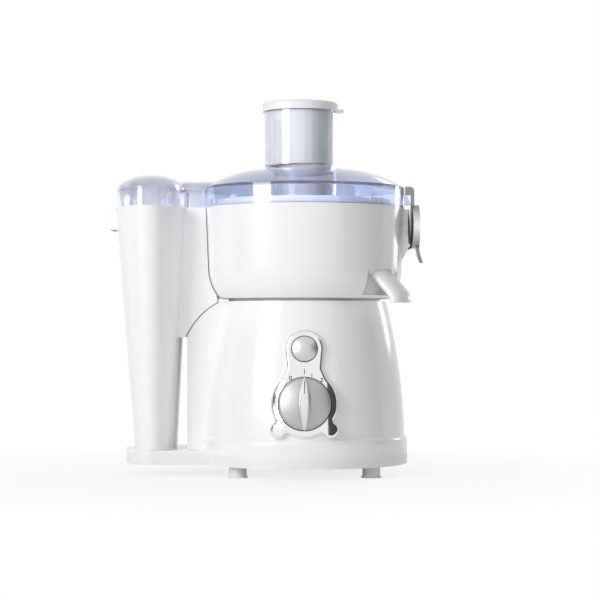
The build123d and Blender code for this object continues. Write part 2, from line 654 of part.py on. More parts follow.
with BuildPart() as base_housing:
    add(housing_shell)
    add(wing_shell)
    with BuildSketch(level(SEAM_Z)):
        plinth_outline(0)
    extrude(amount=TONGUE_THICKNESS)
    with BuildSketch(level(DECK_Z)):
        Circle(SPIGOT_RADIUS)
    extrude(amount=SPIGOT_HEIGHT)
    fillet(base_housing.faces().sort_by(Axis.Z)[-1].edges(), SPIGOT_ROUND)
    add(housing_hollow, mode=Mode.SUBTRACT)
    add(wing_hollow, mode=Mode.SUBTRACT)
    with BuildSketch(level(SPIGOT_Z - BASE_WALL)):
        Circle(SPIGOT_RADIUS - BASE_WALL)
    extrude(amount=-SPIGOT_HEIGHT - BASE_WALL, mode=Mode.SUBTRACT)
    # motor pillars and the seat of the shaft seal, under the spigot's top
    with BuildSketch(level(SPIGOT_Z - BASE_WALL)):
        Circle(SEAL_RADIUS + SEAL_BOSS_WALL)
    extrude(amount=-SEAL_HEIGHT)
    with BuildSketch(level(MOUNT_Z)):
        with PolarLocations(MOUNT_CIRCLE, MOTOR_CORNERS, CORNER_TURN):
            Circle(MOUNT_BOSS_RADIUS)
    extrude(amount=MOUNT_BOSS_LENGTH)
    with BuildSketch(level(MOUNT_Z)):
        with PolarLocations(MOUNT_CIRCLE, MOTOR_CORNERS, CORNER_TURN):
            Circle(MOUNT_SCREW_RADIUS + SLIP_GAP)
    extrude(amount=MOUNT_BOSS_LENGTH - BASE_WALL, mode=Mode.SUBTRACT)
    with BuildSketch(level(SPIGOT_Z)):
        Circle(SEAL_RADIUS)
    extrude(amount=SEAL_Z - SPIGOT_Z, mode=Mode.SUBTRACT)
    with BuildSketch(level(SPIGOT_Z)):
        Circle(SHAFT_RADIUS + REST_GAP)
    extrude(amount=-SEAL_HEIGHT - 2 * BASE_WALL, mode=Mode.SUBTRACT)
    # pillars for the base screws, along the wall
    with BuildSketch(level(FOOT_HEIGHT + PLATE_FLOOR)):
        base_screw_pattern(BOSS_RADIUS)
    extrude(amount=BOSS_HEIGHT)
    with BuildSketch(level(FOOT_HEIGHT + PLATE_FLOOR)):
        base_screw_pattern(BASE_SCREW_RADIUS + SLIP_GAP)
    extrude(amount=BASE_SCREW_LENGTH + REST_GAP, mode=Mode.SUBTRACT)
    # seat of the rotary switch, guide of the button and posts of the pulse switch, behind the panel
    with BuildSketch(panel_face(-KNOB_DROP, PANEL_PROUD + BASE_WALL)):
        Circle(SWITCH_RADIUS)
    extrude(amount=-SWITCH_SEAT)
    with BuildSketch(panel_face(BUTTON_RISE, PANEL_PROUD + BASE_WALL)):
        Circle(BUTTON_RADIUS + GUIDE_WALL)
    extrude(amount=-GUIDE_DEPTH)
    with BuildSketch(panel_face(BUTTON_RISE, PULSE_SWITCH_SEAT)):
        with GridLocations(PULSE_SWITCH_WIDTH - 2 * PULSE_POST_RADIUS, 0, 2, 1):
            Circle(PULSE_POST_RADIUS)
    extrude(amount=PULSE_SWITCH_SEAT - PANEL_PROUD - BASE_WALL)
    with BuildSketch(panel_face(-KNOB_DROP)):
        Circle(SPINDLE_RADIUS + FACE_GAP)
    extrude(amount=-PANEL_DEPTH, mode=Mode.SUBTRACT)
    with BuildSketch(panel_face(BUTTON_RISE)):
        Circle(BUTTON_RADIUS + FACE_GAP)
    extrude(amount=-PULSE_SWITCH_SEAT, mode=Mode.SUBTRACT)
    # way through the back wall for the cord gland
    with BuildSketch(gland_plane()):
        Circle(GLAND_RADIUS + SLIP_GAP)
    extrude(amount=-4 * BASE_WALL, mode=Mode.SUBTRACT)
base_housing.part.label = "base_housing"
export_step(base_housing.part, "parts/base_housing.step")


# Base plate: a shallow tray with vents, holes for the screws and the plugs of the feet

with BuildPart() as base_plate:
    with BuildSketch(level(FOOT_HEIGHT)):
        plinth_outline(0)
    extrude(amount=PLATE_HEIGHT)
    with BuildSketch(level(FOOT_HEIGHT + PLATE_FLOOR)):
        plinth_outline(BASE_WALL)
    extrude(amount=PLATE_HEIGHT, mode=Mode.SUBTRACT)
    with BuildSketch(level(FOOT_HEIGHT)):
        with GridLocations(2 * FOOT_X, 2 * FOOT_Y, 2, 2):
            Circle(FOOT_PLUG_RADIUS + SLIP_GAP)
        base_screw_pattern(BASE_SCREW_RADIUS + SLIP_GAP)
        with PolarLocations(VENT_RING_RADIUS, VENT_COUNT):
            SlotOverall(VENT_LENGTH, VENT_WIDTH)
    extrude(amount=PLATE_FLOOR, mode=Mode.SUBTRACT)
    with BuildSketch(level(FOOT_HEIGHT)):
        base_screw_pattern(BASE_SCREW_HEAD_RADIUS + SLIP_GAP)
    extrude(amount=BASE_SCREW_HEAD + SLIP_GAP, mode=Mode.SUBTRACT)
base_plate.part.label = "base_plate"
export_step(base_plate.part, "parts/base_plate.step")

with BuildPart() as base_screws:
    with BuildSketch(level(FOOT_HEIGHT + SLIP_GAP)):
        base_screw_pattern(BASE_SCREW_HEAD_RADIUS)
    extrude(amount=BASE_SCREW_HEAD)
    with BuildSketch(level(FOOT_HEIGHT + SLIP_GAP)):
        base_screw_pattern(BASE_SCREW_RADIUS)
    extrude(amount=BASE_SCREW_LENGTH)
base_screws.part.label = "base_screws"
export_step(base_screws.part, "parts/base_screws.step")


# Rubber feet: a flared lip on the floor and a plug in the base plate

FOOT_PLACES = {
    "foot_front_left": (-FOOT_X, -FOOT_Y),
    "foot_front_right": (FOOT_X, -FOOT_Y),
    "foot_rear_left": (-FOOT_X, FOOT_Y),
    "foot_rear_right": (FOOT_X, FOOT_Y),
}
for foot_name, (foot_x, foot_y) in FOOT_PLACES.items():
    with BuildPart() as foot:
        with BuildSketch(level(0, foot_x, foot_y)):
            Circle(FOOT_RADIUS + FOOT_LIP)
        extrude(amount=FOOT_LIP)
        with BuildSketch(level(FOOT_LIP, foot_x, foot_y)):
            Circle(FOOT_RADIUS)
        extrude(amount=FOOT_HEIGHT - FOOT_LIP)
        with BuildSketch(level(FOOT_HEIGHT, foot_x, foot_y)):
            Circle(FOOT_PLUG_RADIUS)
        extrude(amount=PLATE_FLOOR)
        lip = foot.edges().filter_by(GeomType.CIRCLE).group_by(Axis.Z)[1]
        chamfer(lip.sort_by(SortBy.RADIUS)[-1], FOOT_CHAMFER)
    foot.part.label = foot_name
    export_step(foot.part, f"parts/{foot_name}.step")


# Cord gland in the back wall

with BuildPart() as cord_gland:
    with BuildSketch(gland_plane()):
        Circle(GLAND_FLANGE_RADIUS)
    extrude(amount=GLAND_FLANGE)
    with BuildSketch(gland_plane()):
        Circle(GLAND_RADIUS)
    extrude(amount=-2 * BASE_WALL)
    with BuildSketch(gland_plane(GLAND_FLANGE)):
        Circle(GLAND_BORE_RADIUS)
    extrude(amount=-GLAND_FLANGE - 2 * BASE_WALL, mode=Mode.SUBTRACT)
cord_gland.part.label = "cord_gland"
export_step(cord_gland.part, "parts/cord_gland.step")


# Control panel: one bright moulding round the button and the knob, fitted to the housing's curve

with BuildPart() as control_panel:
    with BuildSketch(panel_face()) as panel_shape:
        with Locations((0, BUTTON_RISE)):
            Circle(BUTTON_LOBE_RADIUS)
        with Locations((0, -KNOB_DROP)):
            Circle(KNOB_LOBE_RADIUS)
        Polygon(
            (-BUTTON_LOBE_RADIUS, BUTTON_RISE),
            (-PANEL_NECK_HALF, PANEL_NECK_RISE),
            (-KNOB_LOBE_RADIUS, -KNOB_DROP),
            (KNOB_LOBE_RADIUS, -KNOB_DROP),
            (PANEL_NECK_HALF, PANEL_NECK_RISE),
            (BUTTON_LOBE_RADIUS, BUTTON_RISE),
            align=None,
        )
        with Locations((-TOE_X, -TOE_DROP), (TOE_X, -TOE_DROP)):
            Circle(TOE_RADIUS)
        sharp = [v for v in panel_shape.vertices() if abs(v.X) < KNOB_LOBE_RADIUS - PANEL_ROUND]
        fillet(sharp, PANEL_CORNER)
    extrude(amount=-PANEL_DEPTH)
    fillet(control_panel.faces().filter_by(panel_face()).sort_by(Axis.Y)[0].edges(), PANEL_ROUND)
    add(housing_shell, mode=Mode.SUBTRACT)
    with BuildSketch(panel_face(-KNOB_DROP)):
        Circle(KNOB_RADIUS + KNOB_GAP)
    extrude(amount=-DISH_DEPTH, mode=Mode.SUBTRACT)
    with BuildSketch(panel_face(-KNOB_DROP)):
        Circle(SPINDLE_RADIUS + FACE_GAP)
    extrude(amount=-PANEL_DEPTH, mode=Mode.SUBTRACT)
    with BuildSketch(panel_face(BUTTON_RISE)):
        Circle(BUTTON_RADIUS + FACE_GAP)
    extrude(amount=-PANEL_DEPTH, mode=Mode.SUBTRACT)
control_panel.part.label = "control_panel"
export_step(control_panel.part, "parts/control_panel.step")

with BuildPart() as control_knob:
    with BuildSketch(panel_face(-KNOB_DROP, DISH_DEPTH - KNOB_GAP)):
        Circle(KNOB_RADIUS)
    extrude(amount=KNOB_DISC)
    fillet(control_knob.faces().filter_by(panel_face()).sort_by(Axis.Y)[0].edges(), PANEL_ROUND)
    # lens-shaped grip across the disc, from arc to arc
    with BuildSketch(panel_face(-KNOB_DROP, DISH_DEPTH - KNOB_GAP - KNOB_DISC / 2)):
        with BuildLine():
            SagittaArc((0, -GRIP_BAR_REACH), (0, GRIP_BAR_REACH), GRIP_BAR_HALF_WIDTH)
            SagittaArc((0, GRIP_BAR_REACH), (0, -GRIP_BAR_REACH), GRIP_BAR_HALF_WIDTH)
        make_face()
    extrude(amount=KNOB_HEIGHT - KNOB_DISC / 2 + DISH_DEPTH - KNOB_GAP)
    fillet(control_knob.faces().filter_by(panel_face()).sort_by(Axis.Y)[0].edges(), PANEL_ROUND)
    with BuildSketch(panel_face(-KNOB_DROP, DISH_DEPTH - KNOB_GAP)):
        Circle(SPINDLE_RADIUS)
    extrude(amount=SPINDLE_EMBED, mode=Mode.SUBTRACT)
control_knob.part.label = "control_knob"
export_step(control_knob.part, "parts/control_knob.step")

with BuildPart() as knob_spindle:
    with BuildSketch(panel_face(-KNOB_DROP, SWITCH_FACE + SWITCH_DEPTH / 2)):
        Circle(SPINDLE_RADIUS)
    extrude(amount=SWITCH_FACE + SWITCH_DEPTH / 2 - DISH_DEPTH + KNOB_GAP + SPINDLE_EMBED)
knob_spindle.part.label = "knob_spindle"
export_step(knob_spindle.part, "parts/knob_spindle.step")

with BuildPart() as rotary_switch:
    with BuildSketch(panel_face(-KNOB_DROP, SWITCH_FACE)):
        Circle(SWITCH_RADIUS)
    extrude(amount=-SWITCH_DEPTH)
    with BuildSketch(panel_face(-KNOB_DROP, SWITCH_FACE)):
        Circle(SPINDLE_RADIUS + RUN_GAP)
    extrude(amount=-SWITCH_DEPTH / 2 - REST_GAP, mode=Mode.SUBTRACT)
    # row of solder tags at the back
    with BuildSketch(panel_face(-KNOB_DROP, SWITCH_FACE + SWITCH_DEPTH)):
        with PolarLocations(SWITCH_RADIUS / 2, SWITCH_TAGS):
            Rectangle(TAG_THICKNESS, TAG_WIDTH)
    extrude(amount=-TAG_LENGTH)
rotary_switch.part.label = "rotary_switch"
export_step(rotary_switch.part, "parts/rotary_switch.step")

with BuildPart() as pulse_button:
    with BuildSketch(panel_face(BUTTON_RISE, BUTTON_SKIRT)):
        Circle(BUTTON_RADIUS)
    extrude(amount=BUTTON_SKIRT + BUTTON_PROUD)
    with BuildSketch(panel_section(BUTTON_RISE)):
        with BuildLine():
            Line((0, BUTTON_PROUD), (BUTTON_RADIUS, BUTTON_PROUD))
            SagittaArc((BUTTON_RADIUS, BUTTON_PROUD), (0, BUTTON_PROUD + BUTTON_DOME), -BUTTON_DOME / 4)
            Line((0, BUTTON_PROUD + BUTTON_DOME), (0, BUTTON_PROUD))
        make_face()
    revolve(axis=Axis(panel_face(BUTTON_RISE).origin, panel_face().z_dir))
    with BuildSketch(panel_face(BUTTON_RISE, BUTTON_SKIRT)):
        Circle(BUTTON_STEM_RADIUS)
    extrude(amount=-BUTTON_STEM)
pulse_button.part.label = "pulse_button"
export_step(pulse_button.part, "parts/pulse_button.step")

with BuildPart() as pulse_switch:
    with BuildSketch(panel_face(BUTTON_RISE, PULSE_SWITCH_SEAT)):
        Rectangle(PULSE_SWITCH_WIDTH, PULSE_SWITCH_HEIGHT)
    extrude(amount=-PULSE_SWITCH_DEPTH)
    with BuildSketch(panel_face(BUTTON_RISE, PULSE_SWITCH_SEAT + PULSE_SWITCH_DEPTH)):
        with GridLocations(PULSE_SWITCH_WIDTH / 4, 0, 3, 1):
            Rectangle(TAG_THICKNESS, TAG_WIDTH)
    extrude(amount=-TAG_LENGTH)
pulse_switch.part.label = "pulse_switch"
export_step(pulse_switch.part, "parts/pulse_switch.step")


# Motor: brackets, bearings, stator, coils and brushes, hung from the spigot on rubber bushes

with BuildPart() as motor_mounts:
    with BuildSketch(level(MOUNT_Z)):
        with PolarLocations(MOUNT_CIRCLE, MOTOR_CORNERS, CORNER_TURN):
            Circle(MOUNT_BOSS_RADIUS)
            Circle(MOUNT_SCREW_RADIUS + SLIP_GAP, mode=Mode.SUBTRACT)
    extrude(amount=-MOUNT_BUSH_THICKNESS)
motor_mounts.part.label = "motor_mounts"
export_step(motor_mounts.part, "parts/motor_mounts.step")

with BuildPart() as mount_screws:
    with BuildSketch(level(UPPER_BRACKET_Z)):
        with PolarLocations(MOUNT_CIRCLE, MOTOR_CORNERS, CORNER_TURN):
            Circle(MOUNT_SCREW_HEAD_RADIUS)
    extrude(amount=-MOUNT_SCREW_HEAD)
    with BuildSketch(level(UPPER_BRACKET_Z)):
        with PolarLocations(MOUNT_CIRCLE, MOTOR_CORNERS, CORNER_TURN):
            Circle(MOUNT_SCREW_RADIUS)
    extrude(amount=BRACKET_THICKNESS + MOUNT_BUSH_THICKNESS + MOUNT_BOSS_LENGTH - 2 * BASE_WALL)
mount_screws.part.label = "mount_screws"
export_step(mount_screws.part, "parts/mount_screws.step")

with BuildPart() as upper_motor_bracket:
    with BuildSketch(level(UPPER_BRACKET_Z)):
        Circle(STATOR_RADIUS)
        with PolarLocations(MOUNT_CIRCLE / 2, MOTOR_CORNERS, CORNER_TURN):
            Rectangle(MOUNT_CIRCLE, 2 * MOUNT_BOSS_RADIUS)
        with PolarLocations(MOUNT_CIRCLE, MOTOR_CORNERS, CORNER_TURN):
            Circle(MOUNT_BOSS_RADIUS)
            Circle(MOUNT_SCREW_RADIUS + SLIP_GAP, mode=Mode.SUBTRACT)
        with PolarLocations(STATOR_RADIUS - STATOR_YOKE - LEG_RADIUS, 4):
            Circle(2 * LEG_RADIUS, mode=Mode.SUBTRACT)
    extrude(amount=BRACKET_THICKNESS)
    with BuildSketch(level(UPPER_BRACKET_Z)):
        Circle(BEARING_RADIUS + BEARING_CUP_WALL)
    extrude(amount=BEARING_HEIGHT + BEARING_LIP)
    with BuildSketch(level(STATOR_TOP_Z)):
        with PolarLocations(LEG_CIRCLE, MOTOR_CORNERS, CORNER_TURN):
            Circle(LEG_RADIUS)
    extrude(amount=UPPER_BRACKET_Z - STATOR_TOP_Z)
    with BuildSketch(level(STATOR_TOP_Z)):
        with PolarLocations(LEG_CIRCLE, MOTOR_CORNERS, CORNER_TURN):
            Circle(BOLT_RADIUS + SLIP_GAP)
    extrude(amount=UPPER_BRACKET_Z - STATOR_TOP_Z + BRACKET_THICKNESS, mode=Mode.SUBTRACT)
    with BuildSketch(level(UPPER_BRACKET_Z)):
        Circle(BEARING_RADIUS)
    extrude(amount=BEARING_HEIGHT, mode=Mode.SUBTRACT)
    with BuildSketch(level(UPPER_BRACKET_Z)):
        Circle(SHAFT_RADIUS + REST_GAP)
    extrude(amount=BEARING_HEIGHT + BEARING_LIP, mode=Mode.SUBTRACT)
upper_motor_bracket.part.label = "upper_motor_bracket"
export_step(upper_motor_bracket.part, "parts/upper_motor_bracket.step")

with BuildPart() as lower_motor_bracket:
    with BuildSketch(level(LOWER_BRACKET_Z)):
        Circle(STATOR_RADIUS)
        with PolarLocations(STATOR_RADIUS - STATOR_YOKE - LEG_RADIUS, 2, 90):
            Circle(2 * LEG_RADIUS, mode=Mode.SUBTRACT)
    extrude(amount=BRACKET_THICKNESS)
    with BuildSketch(level(SHAFT_Z)):
        Circle(BEARING_RADIUS + BEARING_CUP_WALL)
    extrude(amount=LOWER_BRACKET_Z - SHAFT_Z)
    with BuildSketch(level(STATOR_Z)):
        with PolarLocations(LEG_CIRCLE, MOTOR_CORNERS, CORNER_TURN):
            Circle(LEG_RADIUS)
    extrude(amount=LOWER_BRACKET_Z - STATOR_Z)
    with BuildSketch(level(STATOR_Z)):
        with PolarLocations(LEG_CIRCLE, MOTOR_CORNERS, CORNER_TURN):
            Circle(BOLT_RADIUS + SLIP_GAP)
    extrude(amount=LOWER_BRACKET_Z - STATOR_Z, mode=Mode.SUBTRACT)
    with BuildSketch(level(SHAFT_Z + BEARING_LIP)):
        Circle(BEARING_RADIUS)
    extrude(amount=BEARING_HEIGHT + BRACKET_THICKNESS, mode=Mode.SUBTRACT)
lower_motor_bracket.part.label = "lower_motor_bracket"
export_step(lower_motor_bracket.part, "parts/lower_motor_bracket.step")

for bearing_name, bearing_z in {
    "upper_bearing": UPPER_BRACKET_Z,
    "lower_bearing": SHAFT_Z + BEARING_LIP,
}.items():
    with BuildPart() as bearing:
        with BuildSketch(level(bearing_z)):
            Circle(BEARING_RADIUS)
            Circle(SHAFT_RADIUS + RUN_GAP, mode=Mode.SUBTRACT)
        extrude(amount=BEARING_HEIGHT)
    bearing.part.label = bearing_name
    export_step(bearing.part, f"parts/{bearing_name}.step")

with BuildPart() as stator_core:
    # pole shoes, open towards both sides, and the necks that carry them
    with BuildSketch(level(STATOR_Z)):
        Circle(POLE_SHOE_RADIUS)
        with PolarLocations(0, 2):
            side = POLE_SHOE_RADIUS * sqrt(2)
            spread = side / tan(radians(POLE_SHOE_ANGLE))
            Polygon((0, 0), (side, -spread), (side, spread), align=None, mode=Mode.SUBTRACT)
        Rectangle(2 * POLE_NECK_HALF, 2 * STATOR_RADIUS - STATOR_YOKE)
    extrude(amount=STATOR_HEIGHT)
    with BuildSketch(level(STATOR_Z)):
        Circle(STATOR_RADIUS)
        Circle(STATOR_RADIUS - STATOR_YOKE, mode=Mode.SUBTRACT)
    extrude(amount=STATOR_HEIGHT)
    with BuildSketch(level(STATOR_Z)):
        Circle(STATOR_BORE_RADIUS)
        with PolarLocations(LEG_CIRCLE, MOTOR_CORNERS, CORNER_TURN):
            Circle(BOLT_RADIUS + SLIP_GAP)
    extrude(amount=STATOR_HEIGHT, mode=Mode.SUBTRACT)
stator_core.part.label = "stator_core"
export_step(stator_core.part, "parts/stator_core.step")

with BuildPart() as field_coils:
    for coil_y in (COIL_Y + COIL_THICKNESS, -COIL_Y):
        with BuildSketch(upright(coil_y)):
            with Locations((0, STATOR_Z + STATOR_HEIGHT / 2)):
                inner_half = POLE_NECK_HALF + FACE_GAP
                inner_height = STATOR_HEIGHT + 2 * (COIL_OVERHANG - COIL_WIDTH)
                RectangleRounded(2 * (inner_half + COIL_WIDTH), inner_height + 2 * COIL_WIDTH, COIL_WIDTH)
                Rectangle(2 * inner_half, inner_height, mode=Mode.SUBTRACT)
        extrude(amount=COIL_THICKNESS)
field_coils.part.label = "field_coils"
export_step(field_coils.part, "parts/field_coils.step")

with BuildPart() as motor_bolts:
    with BuildSketch(level(LOWER_BRACKET_Z)):
        with PolarLocations(LEG_CIRCLE, MOTOR_CORNERS, CORNER_TURN):
            RegularPolygon(BOLT_HEAD_RADIUS, 6)
    extrude(amount=-BOLT_HEAD)
    with BuildSketch(level(LOWER_BRACKET_Z)):
        with PolarLocations(LEG_CIRCLE, MOTOR_CORNERS, CORNER_TURN):
            Circle(BOLT_RADIUS)
    extrude(amount=UPPER_BRACKET_Z + BRACKET_THICKNESS - LOWER_BRACKET_Z)
motor_bolts.part.label = "motor_bolts"
export_step(motor_bolts.part, "parts/motor_bolts.step")

with BuildPart() as brush_holders:
    for side in (-1, 1):
        with BuildSketch(level(LOWER_BRACKET_Z + BRACKET_THICKNESS, side * HOLDER_X)):
            Rectangle(HOLDER_LENGTH, 2 * (BRUSH_HALF_WIDTH + HOLDER_WALL))
        extrude(amount=BRUSH_Z + BRUSH_HALF_HEIGHT + HOLDER_WALL - LOWER_BRACKET_Z - BRACKET_THICKNESS)
        with BuildSketch(level(BRUSH_Z - BRUSH_HALF_HEIGHT, side * HOLDER_X)):
            Rectangle(HOLDER_LENGTH, 2 * BRUSH_HALF_WIDTH)
        extrude(amount=2 * BRUSH_HALF_HEIGHT, mode=Mode.SUBTRACT)
brush_holders.part.label = "brush_holders"
export_step(brush_holders.part, "parts/brush_holders.step")

with BuildPart() as carbon_brushes:
    for side in (-1, 1):
        brush_middle = COMMUTATOR_RADIUS + BRUSH_TIP_GAP + BRUSH_LENGTH / 2
        with BuildSketch(level(BRUSH_Z - BRUSH_HALF_HEIGHT, side * brush_middle)):
            Rectangle(BRUSH_LENGTH, 2 * BRUSH_HALF_WIDTH)
        extrude(amount=2 * BRUSH_HALF_HEIGHT)
carbon_brushes.part.label = "carbon_brushes"
export_step(carbon_brushes.part, "parts/carbon_brushes.step")

with BuildPart() as shaft_seal:
    with BuildSketch(level(SEAL_Z)):
        Circle(SEAL_RADIUS)
        Circle(SHAFT_RADIUS + RUN_GAP, mode=Mode.SUBTRACT)
    extrude(amount=SEAL_HEIGHT)
shaft_seal.part.label = "shaft_seal"
export_step(shaft_seal.part, "parts/shaft_seal.step")


# Rotor: everything that turns with the motor shaft

with BuildPart() as motor_shaft:
    with BuildSketch(level(SHAFT_Z + BEARING_LIP + FACE_GAP)):
        Circle(SHAFT_RADIUS)
    extrude(amount=COUPLING_Z + COUPLING_HEIGHT - REST_GAP - SHAFT_Z - BEARING_LIP - FACE_GAP)
motor_shaft.part.label = "motor_shaft"
export_step(motor_shaft.part, "parts/motor_shaft.step")

with BuildPart() as armature_core:
    with BuildSketch(level(STATOR_Z)):
        Circle(STATOR_BORE_RADIUS - ARMATURE_GAP)
        with PolarLocations(WINDING_OUTER_RADIUS - ARMATURE_SLOT_DEPTH / 2, ARMATURE_SLOTS):
            Rectangle(ARMATURE_SLOT_DEPTH, ARMATURE_SLOT_WIDTH, mode=Mode.SUBTRACT)
        with PolarLocations(WINDING_OUTER_RADIUS, ARMATURE_SLOTS):
            Rectangle(ARMATURE_SLOT_DEPTH, ARMATURE_SLOT_WIDTH / 2, mode=Mode.SUBTRACT)
        Circle(SHAFT_RADIUS, mode=Mode.SUBTRACT)
    extrude(amount=STATOR_HEIGHT)
armature_core.part.label = "armature_core"
export_step(armature_core.part, "parts/armature_core.step")

with BuildPart() as armature_windings:
    for ring_z in (STATOR_Z - WINDING_HEIGHT, STATOR_TOP_Z):
        with BuildSketch(level(ring_z)):
            Circle(WINDING_OUTER_RADIUS)
            Circle(WINDING_INNER_RADIUS, mode=Mode.SUBTRACT)
        extrude(amount=WINDING_HEIGHT)
    with BuildSketch(level(STATOR_Z)):
        with PolarLocations(WINDING_OUTER_RADIUS - ARMATURE_SLOT_DEPTH / 2, ARMATURE_SLOTS):
            Rectangle(ARMATURE_SLOT_DEPTH, ARMATURE_SLOT_WIDTH)
    extrude(amount=STATOR_HEIGHT)
armature_windings.part.label = "armature_windings"
export_step(armature_windings.part, "parts/armature_windings.step")

with BuildPart() as commutator:
    with BuildSketch(level(COMMUTATOR_Z)):
        Circle(COMMUTATOR_RADIUS)
        with PolarLocations(COMMUTATOR_RADIUS, 2 * ARMATURE_SLOTS):
            Rectangle(COMMUTATOR_GROOVE, COMMUTATOR_GROOVE, mode=Mode.SUBTRACT)
        Circle(SHAFT_RADIUS, mode=Mode.SUBTRACT)
    extrude(amount=COMMUTATOR_HEIGHT)
commutator.part.label = "commutator"
export_step(commutator.part, "parts/commutator.step")

with BuildPart() as cooling_fan:
    with BuildSketch(level(FAN_Z)):
        Circle(FAN_RADIUS)
    extrude(amount=FAN_DISC)
    with BuildSketch(level(FAN_Z)):
        Circle(FAN_HUB_RADIUS)
        with PolarLocations((FAN_RADIUS + FAN_HUB_RADIUS) / 2, FAN_BLADES):
            Rectangle(FAN_RADIUS - FAN_HUB_RADIUS - 2 * FAN_BLADE_WIDTH, FAN_BLADE_WIDTH)
    extrude(amount=FAN_HEIGHT)
    with BuildSketch(level(FAN_Z)):
        Circle(SHAFT_RADIUS)
    extrude(amount=FAN_HEIGHT, mode=Mode.SUBTRACT)
cooling_fan.part.label = "cooling_fan"
export_step(cooling_fan.part, "parts/cooling_fan.step")

with BuildPart() as drive_coupling:
    with BuildSketch(level(COUPLING_Z)):
        coupling_outline(0)
    extrude(amount=COUPLING_HEIGHT)
    with BuildSketch(level(COUPLING_Z)):
        Circle(SHAFT_RADIUS)
    extrude(amount=COUPLING_HEIGHT - REST_GAP, mode=Mode.SUBTRACT)
drive_coupling.part.label = "drive_coupling"
export_step(drive_coupling.part, "parts/drive_coupling.step")


# Juice bowl: turned wall on the spigot, collar round the drive and ears of the latch, with its spout

with BuildPart() as bowl_hollow:
    with BuildSketch(upright()):
        with BuildLine():
            Polyline(
                (0, FLOOR_Z),
                (BOWL_WAIST_RADIUS - BOWL_WALL, FLOOR_Z),
                (BOWL_RIM_RADIUS - BOWL_WALL, RIM_Z),
                (0, RIM_Z),
                close=True,
            )
        make_face()
    revolve(axis=SPINDLE)

with BuildPart() as juice_bowl:
    add(bowl_form(0))
    # hollow of the skirt: round the spigot all the way, out to the wall except behind the spout
    with BuildSketch(level(BOWL_FOOT_Z)):
        Circle(SPIGOT_RADIUS + REST_GAP)
    extrude(amount=SPIGOT_Z - BOWL_FOOT_Z, mode=Mode.SUBTRACT)
    with BuildSketch(radial(SPOUT_ANGLE + SPOUT_POCKET_ANGLE)):
        with BuildLine():
            foot = (BOWL_FOOT_RADIUS - BOWL_WALL, BOWL_FOOT_Z)
            roof = (BOWL_WAIST_RADIUS - 2 * BOWL_WALL, SPIGOT_Z)
            SagittaArc(foot, roof, -BOWL_CORNER_BULGE / 2)
            Polyline(roof, (SPIGOT_RADIUS, SPIGOT_Z), (SPIGOT_RADIUS, BOWL_FOOT_Z), foot)
        make_face()
    revolve(axis=SPINDLE, revolution_arc=360 - 2 * SPOUT_POCKET_ANGLE, mode=Mode.SUBTRACT)
    with BuildSketch(radial(SPOUT_ANGLE - SCOOP_HALF_ANGLE)):
        with BuildLine():
            Polyline(
                (SPIGOT_RADIUS + BOWL_WALL + REST_GAP, BOWL_FOOT_Z + SCOOP_FLANGE),
                (BOWL_RIM_RADIUS, BOWL_FOOT_Z + SCOOP_FLANGE),
                (BOWL_RIM_RADIUS, SPIGOT_Z),
                (SPIGOT_RADIUS + BOWL_WALL + REST_GAP, SPIGOT_Z),
                close=True,
            )
        make_face()
    revolve(axis=SPINDLE, revolution_arc=2 * SCOOP_HALF_ANGLE, mode=Mode.SUBTRACT)
    # trough, and the way through its floor for the spout
    add(bowl_hollow.part, mode=Mode.SUBTRACT)
    add(spout_tube(-FACE_GAP), mode=Mode.SUBTRACT)
    # collar and ledge
    with BuildSketch(level(FLOOR_Z)):
        Circle(COLLAR_RADIUS + COLLAR_WALL)
    extrude(amount=COLLAR_HEIGHT)
    with BuildSketch(level(SPIGOT_Z)):
        Circle(COLLAR_RADIUS)
    extrude(amount=COLLAR_Z - SPIGOT_Z, mode=Mode.SUBTRACT)
    with BuildSketch(level(LEDGE_Z - LEDGE_THICKNESS)):
        Circle(BOWL_RIM_RADIUS - BOWL_WALL / 2)
        Circle(LEDGE_INNER_RADIUS, mode=Mode.SUBTRACT)
    extrude(amount=LEDGE_THICKNESS)
    # ears of the latch
    for ear_y in (LATCH_HALF + FACE_GAP + EAR_THICKNESS, -LATCH_HALF - FACE_GAP):
        with BuildSketch(upright(ear_y)):
            Polygon(
                (BOWL_RIM_RADIUS - BOWL_WALL, RIM_Z - EAR_DROP),
                (BOWL_RIM_RADIUS + EAR_SHOULDER_OUT, RIM_Z - EAR_DROP),
                (PIVOT_X + EAR_NOSE_RADIUS, PIVOT_Z),
                (PIVOT_X, PIVOT_Z - EAR_NOSE_RADIUS),
                (BOWL_WAIST_RADIUS - BOWL_WALL / 2, RIM_Z - EAR_FOOT_DROP),
                align=None,
            )
            with Locations((PIVOT_X, PIVOT_Z)):
                Circle(EAR_NOSE_RADIUS)
                Circle(PIN_RADIUS, mode=Mode.SUBTRACT)
        extrude(amount=EAR_THICKNESS)
juice_bowl.part.label = "juice_bowl"
export_step(juice_bowl.part, "parts/juice_bowl.step")

with BuildPart() as juice_spout:
    # flange against the underside of the bowl's floor
    with BuildSketch(radial(SPOUT_ANGLE - SPOUT_FLANGE_ANGLE)):
        with BuildLine():
            flange_inner = SPIGOT_RADIUS + REST_GAP + BOWL_WALL + FACE_GAP
            flange_outer = BOWL_WAIST_RADIUS - BOWL_WALL - FACE_GAP
            Polyline(
                (flange_inner, SPIGOT_Z - SPOUT_FLANGE),
                (flange_outer, SPIGOT_Z - SPOUT_FLANGE),
                (flange_outer, SPIGOT_Z),
                (flange_inner, SPIGOT_Z),
                close=True,
            )
        make_face()
    revolve(axis=SPINDLE, revolution_arc=2 * SPOUT_FLANGE_ANGLE)
    # tube, out from the floor of the trough and then down
    add(spout_tube(0))
    add(spout_tube(SPOUT_WALL), mode=Mode.SUBTRACT)
    add(bowl_hollow.part, mode=Mode.SUBTRACT)
juice_spout.part.label = "juice_spout"
export_step(juice_spout.part, "parts/juice_spout.step")


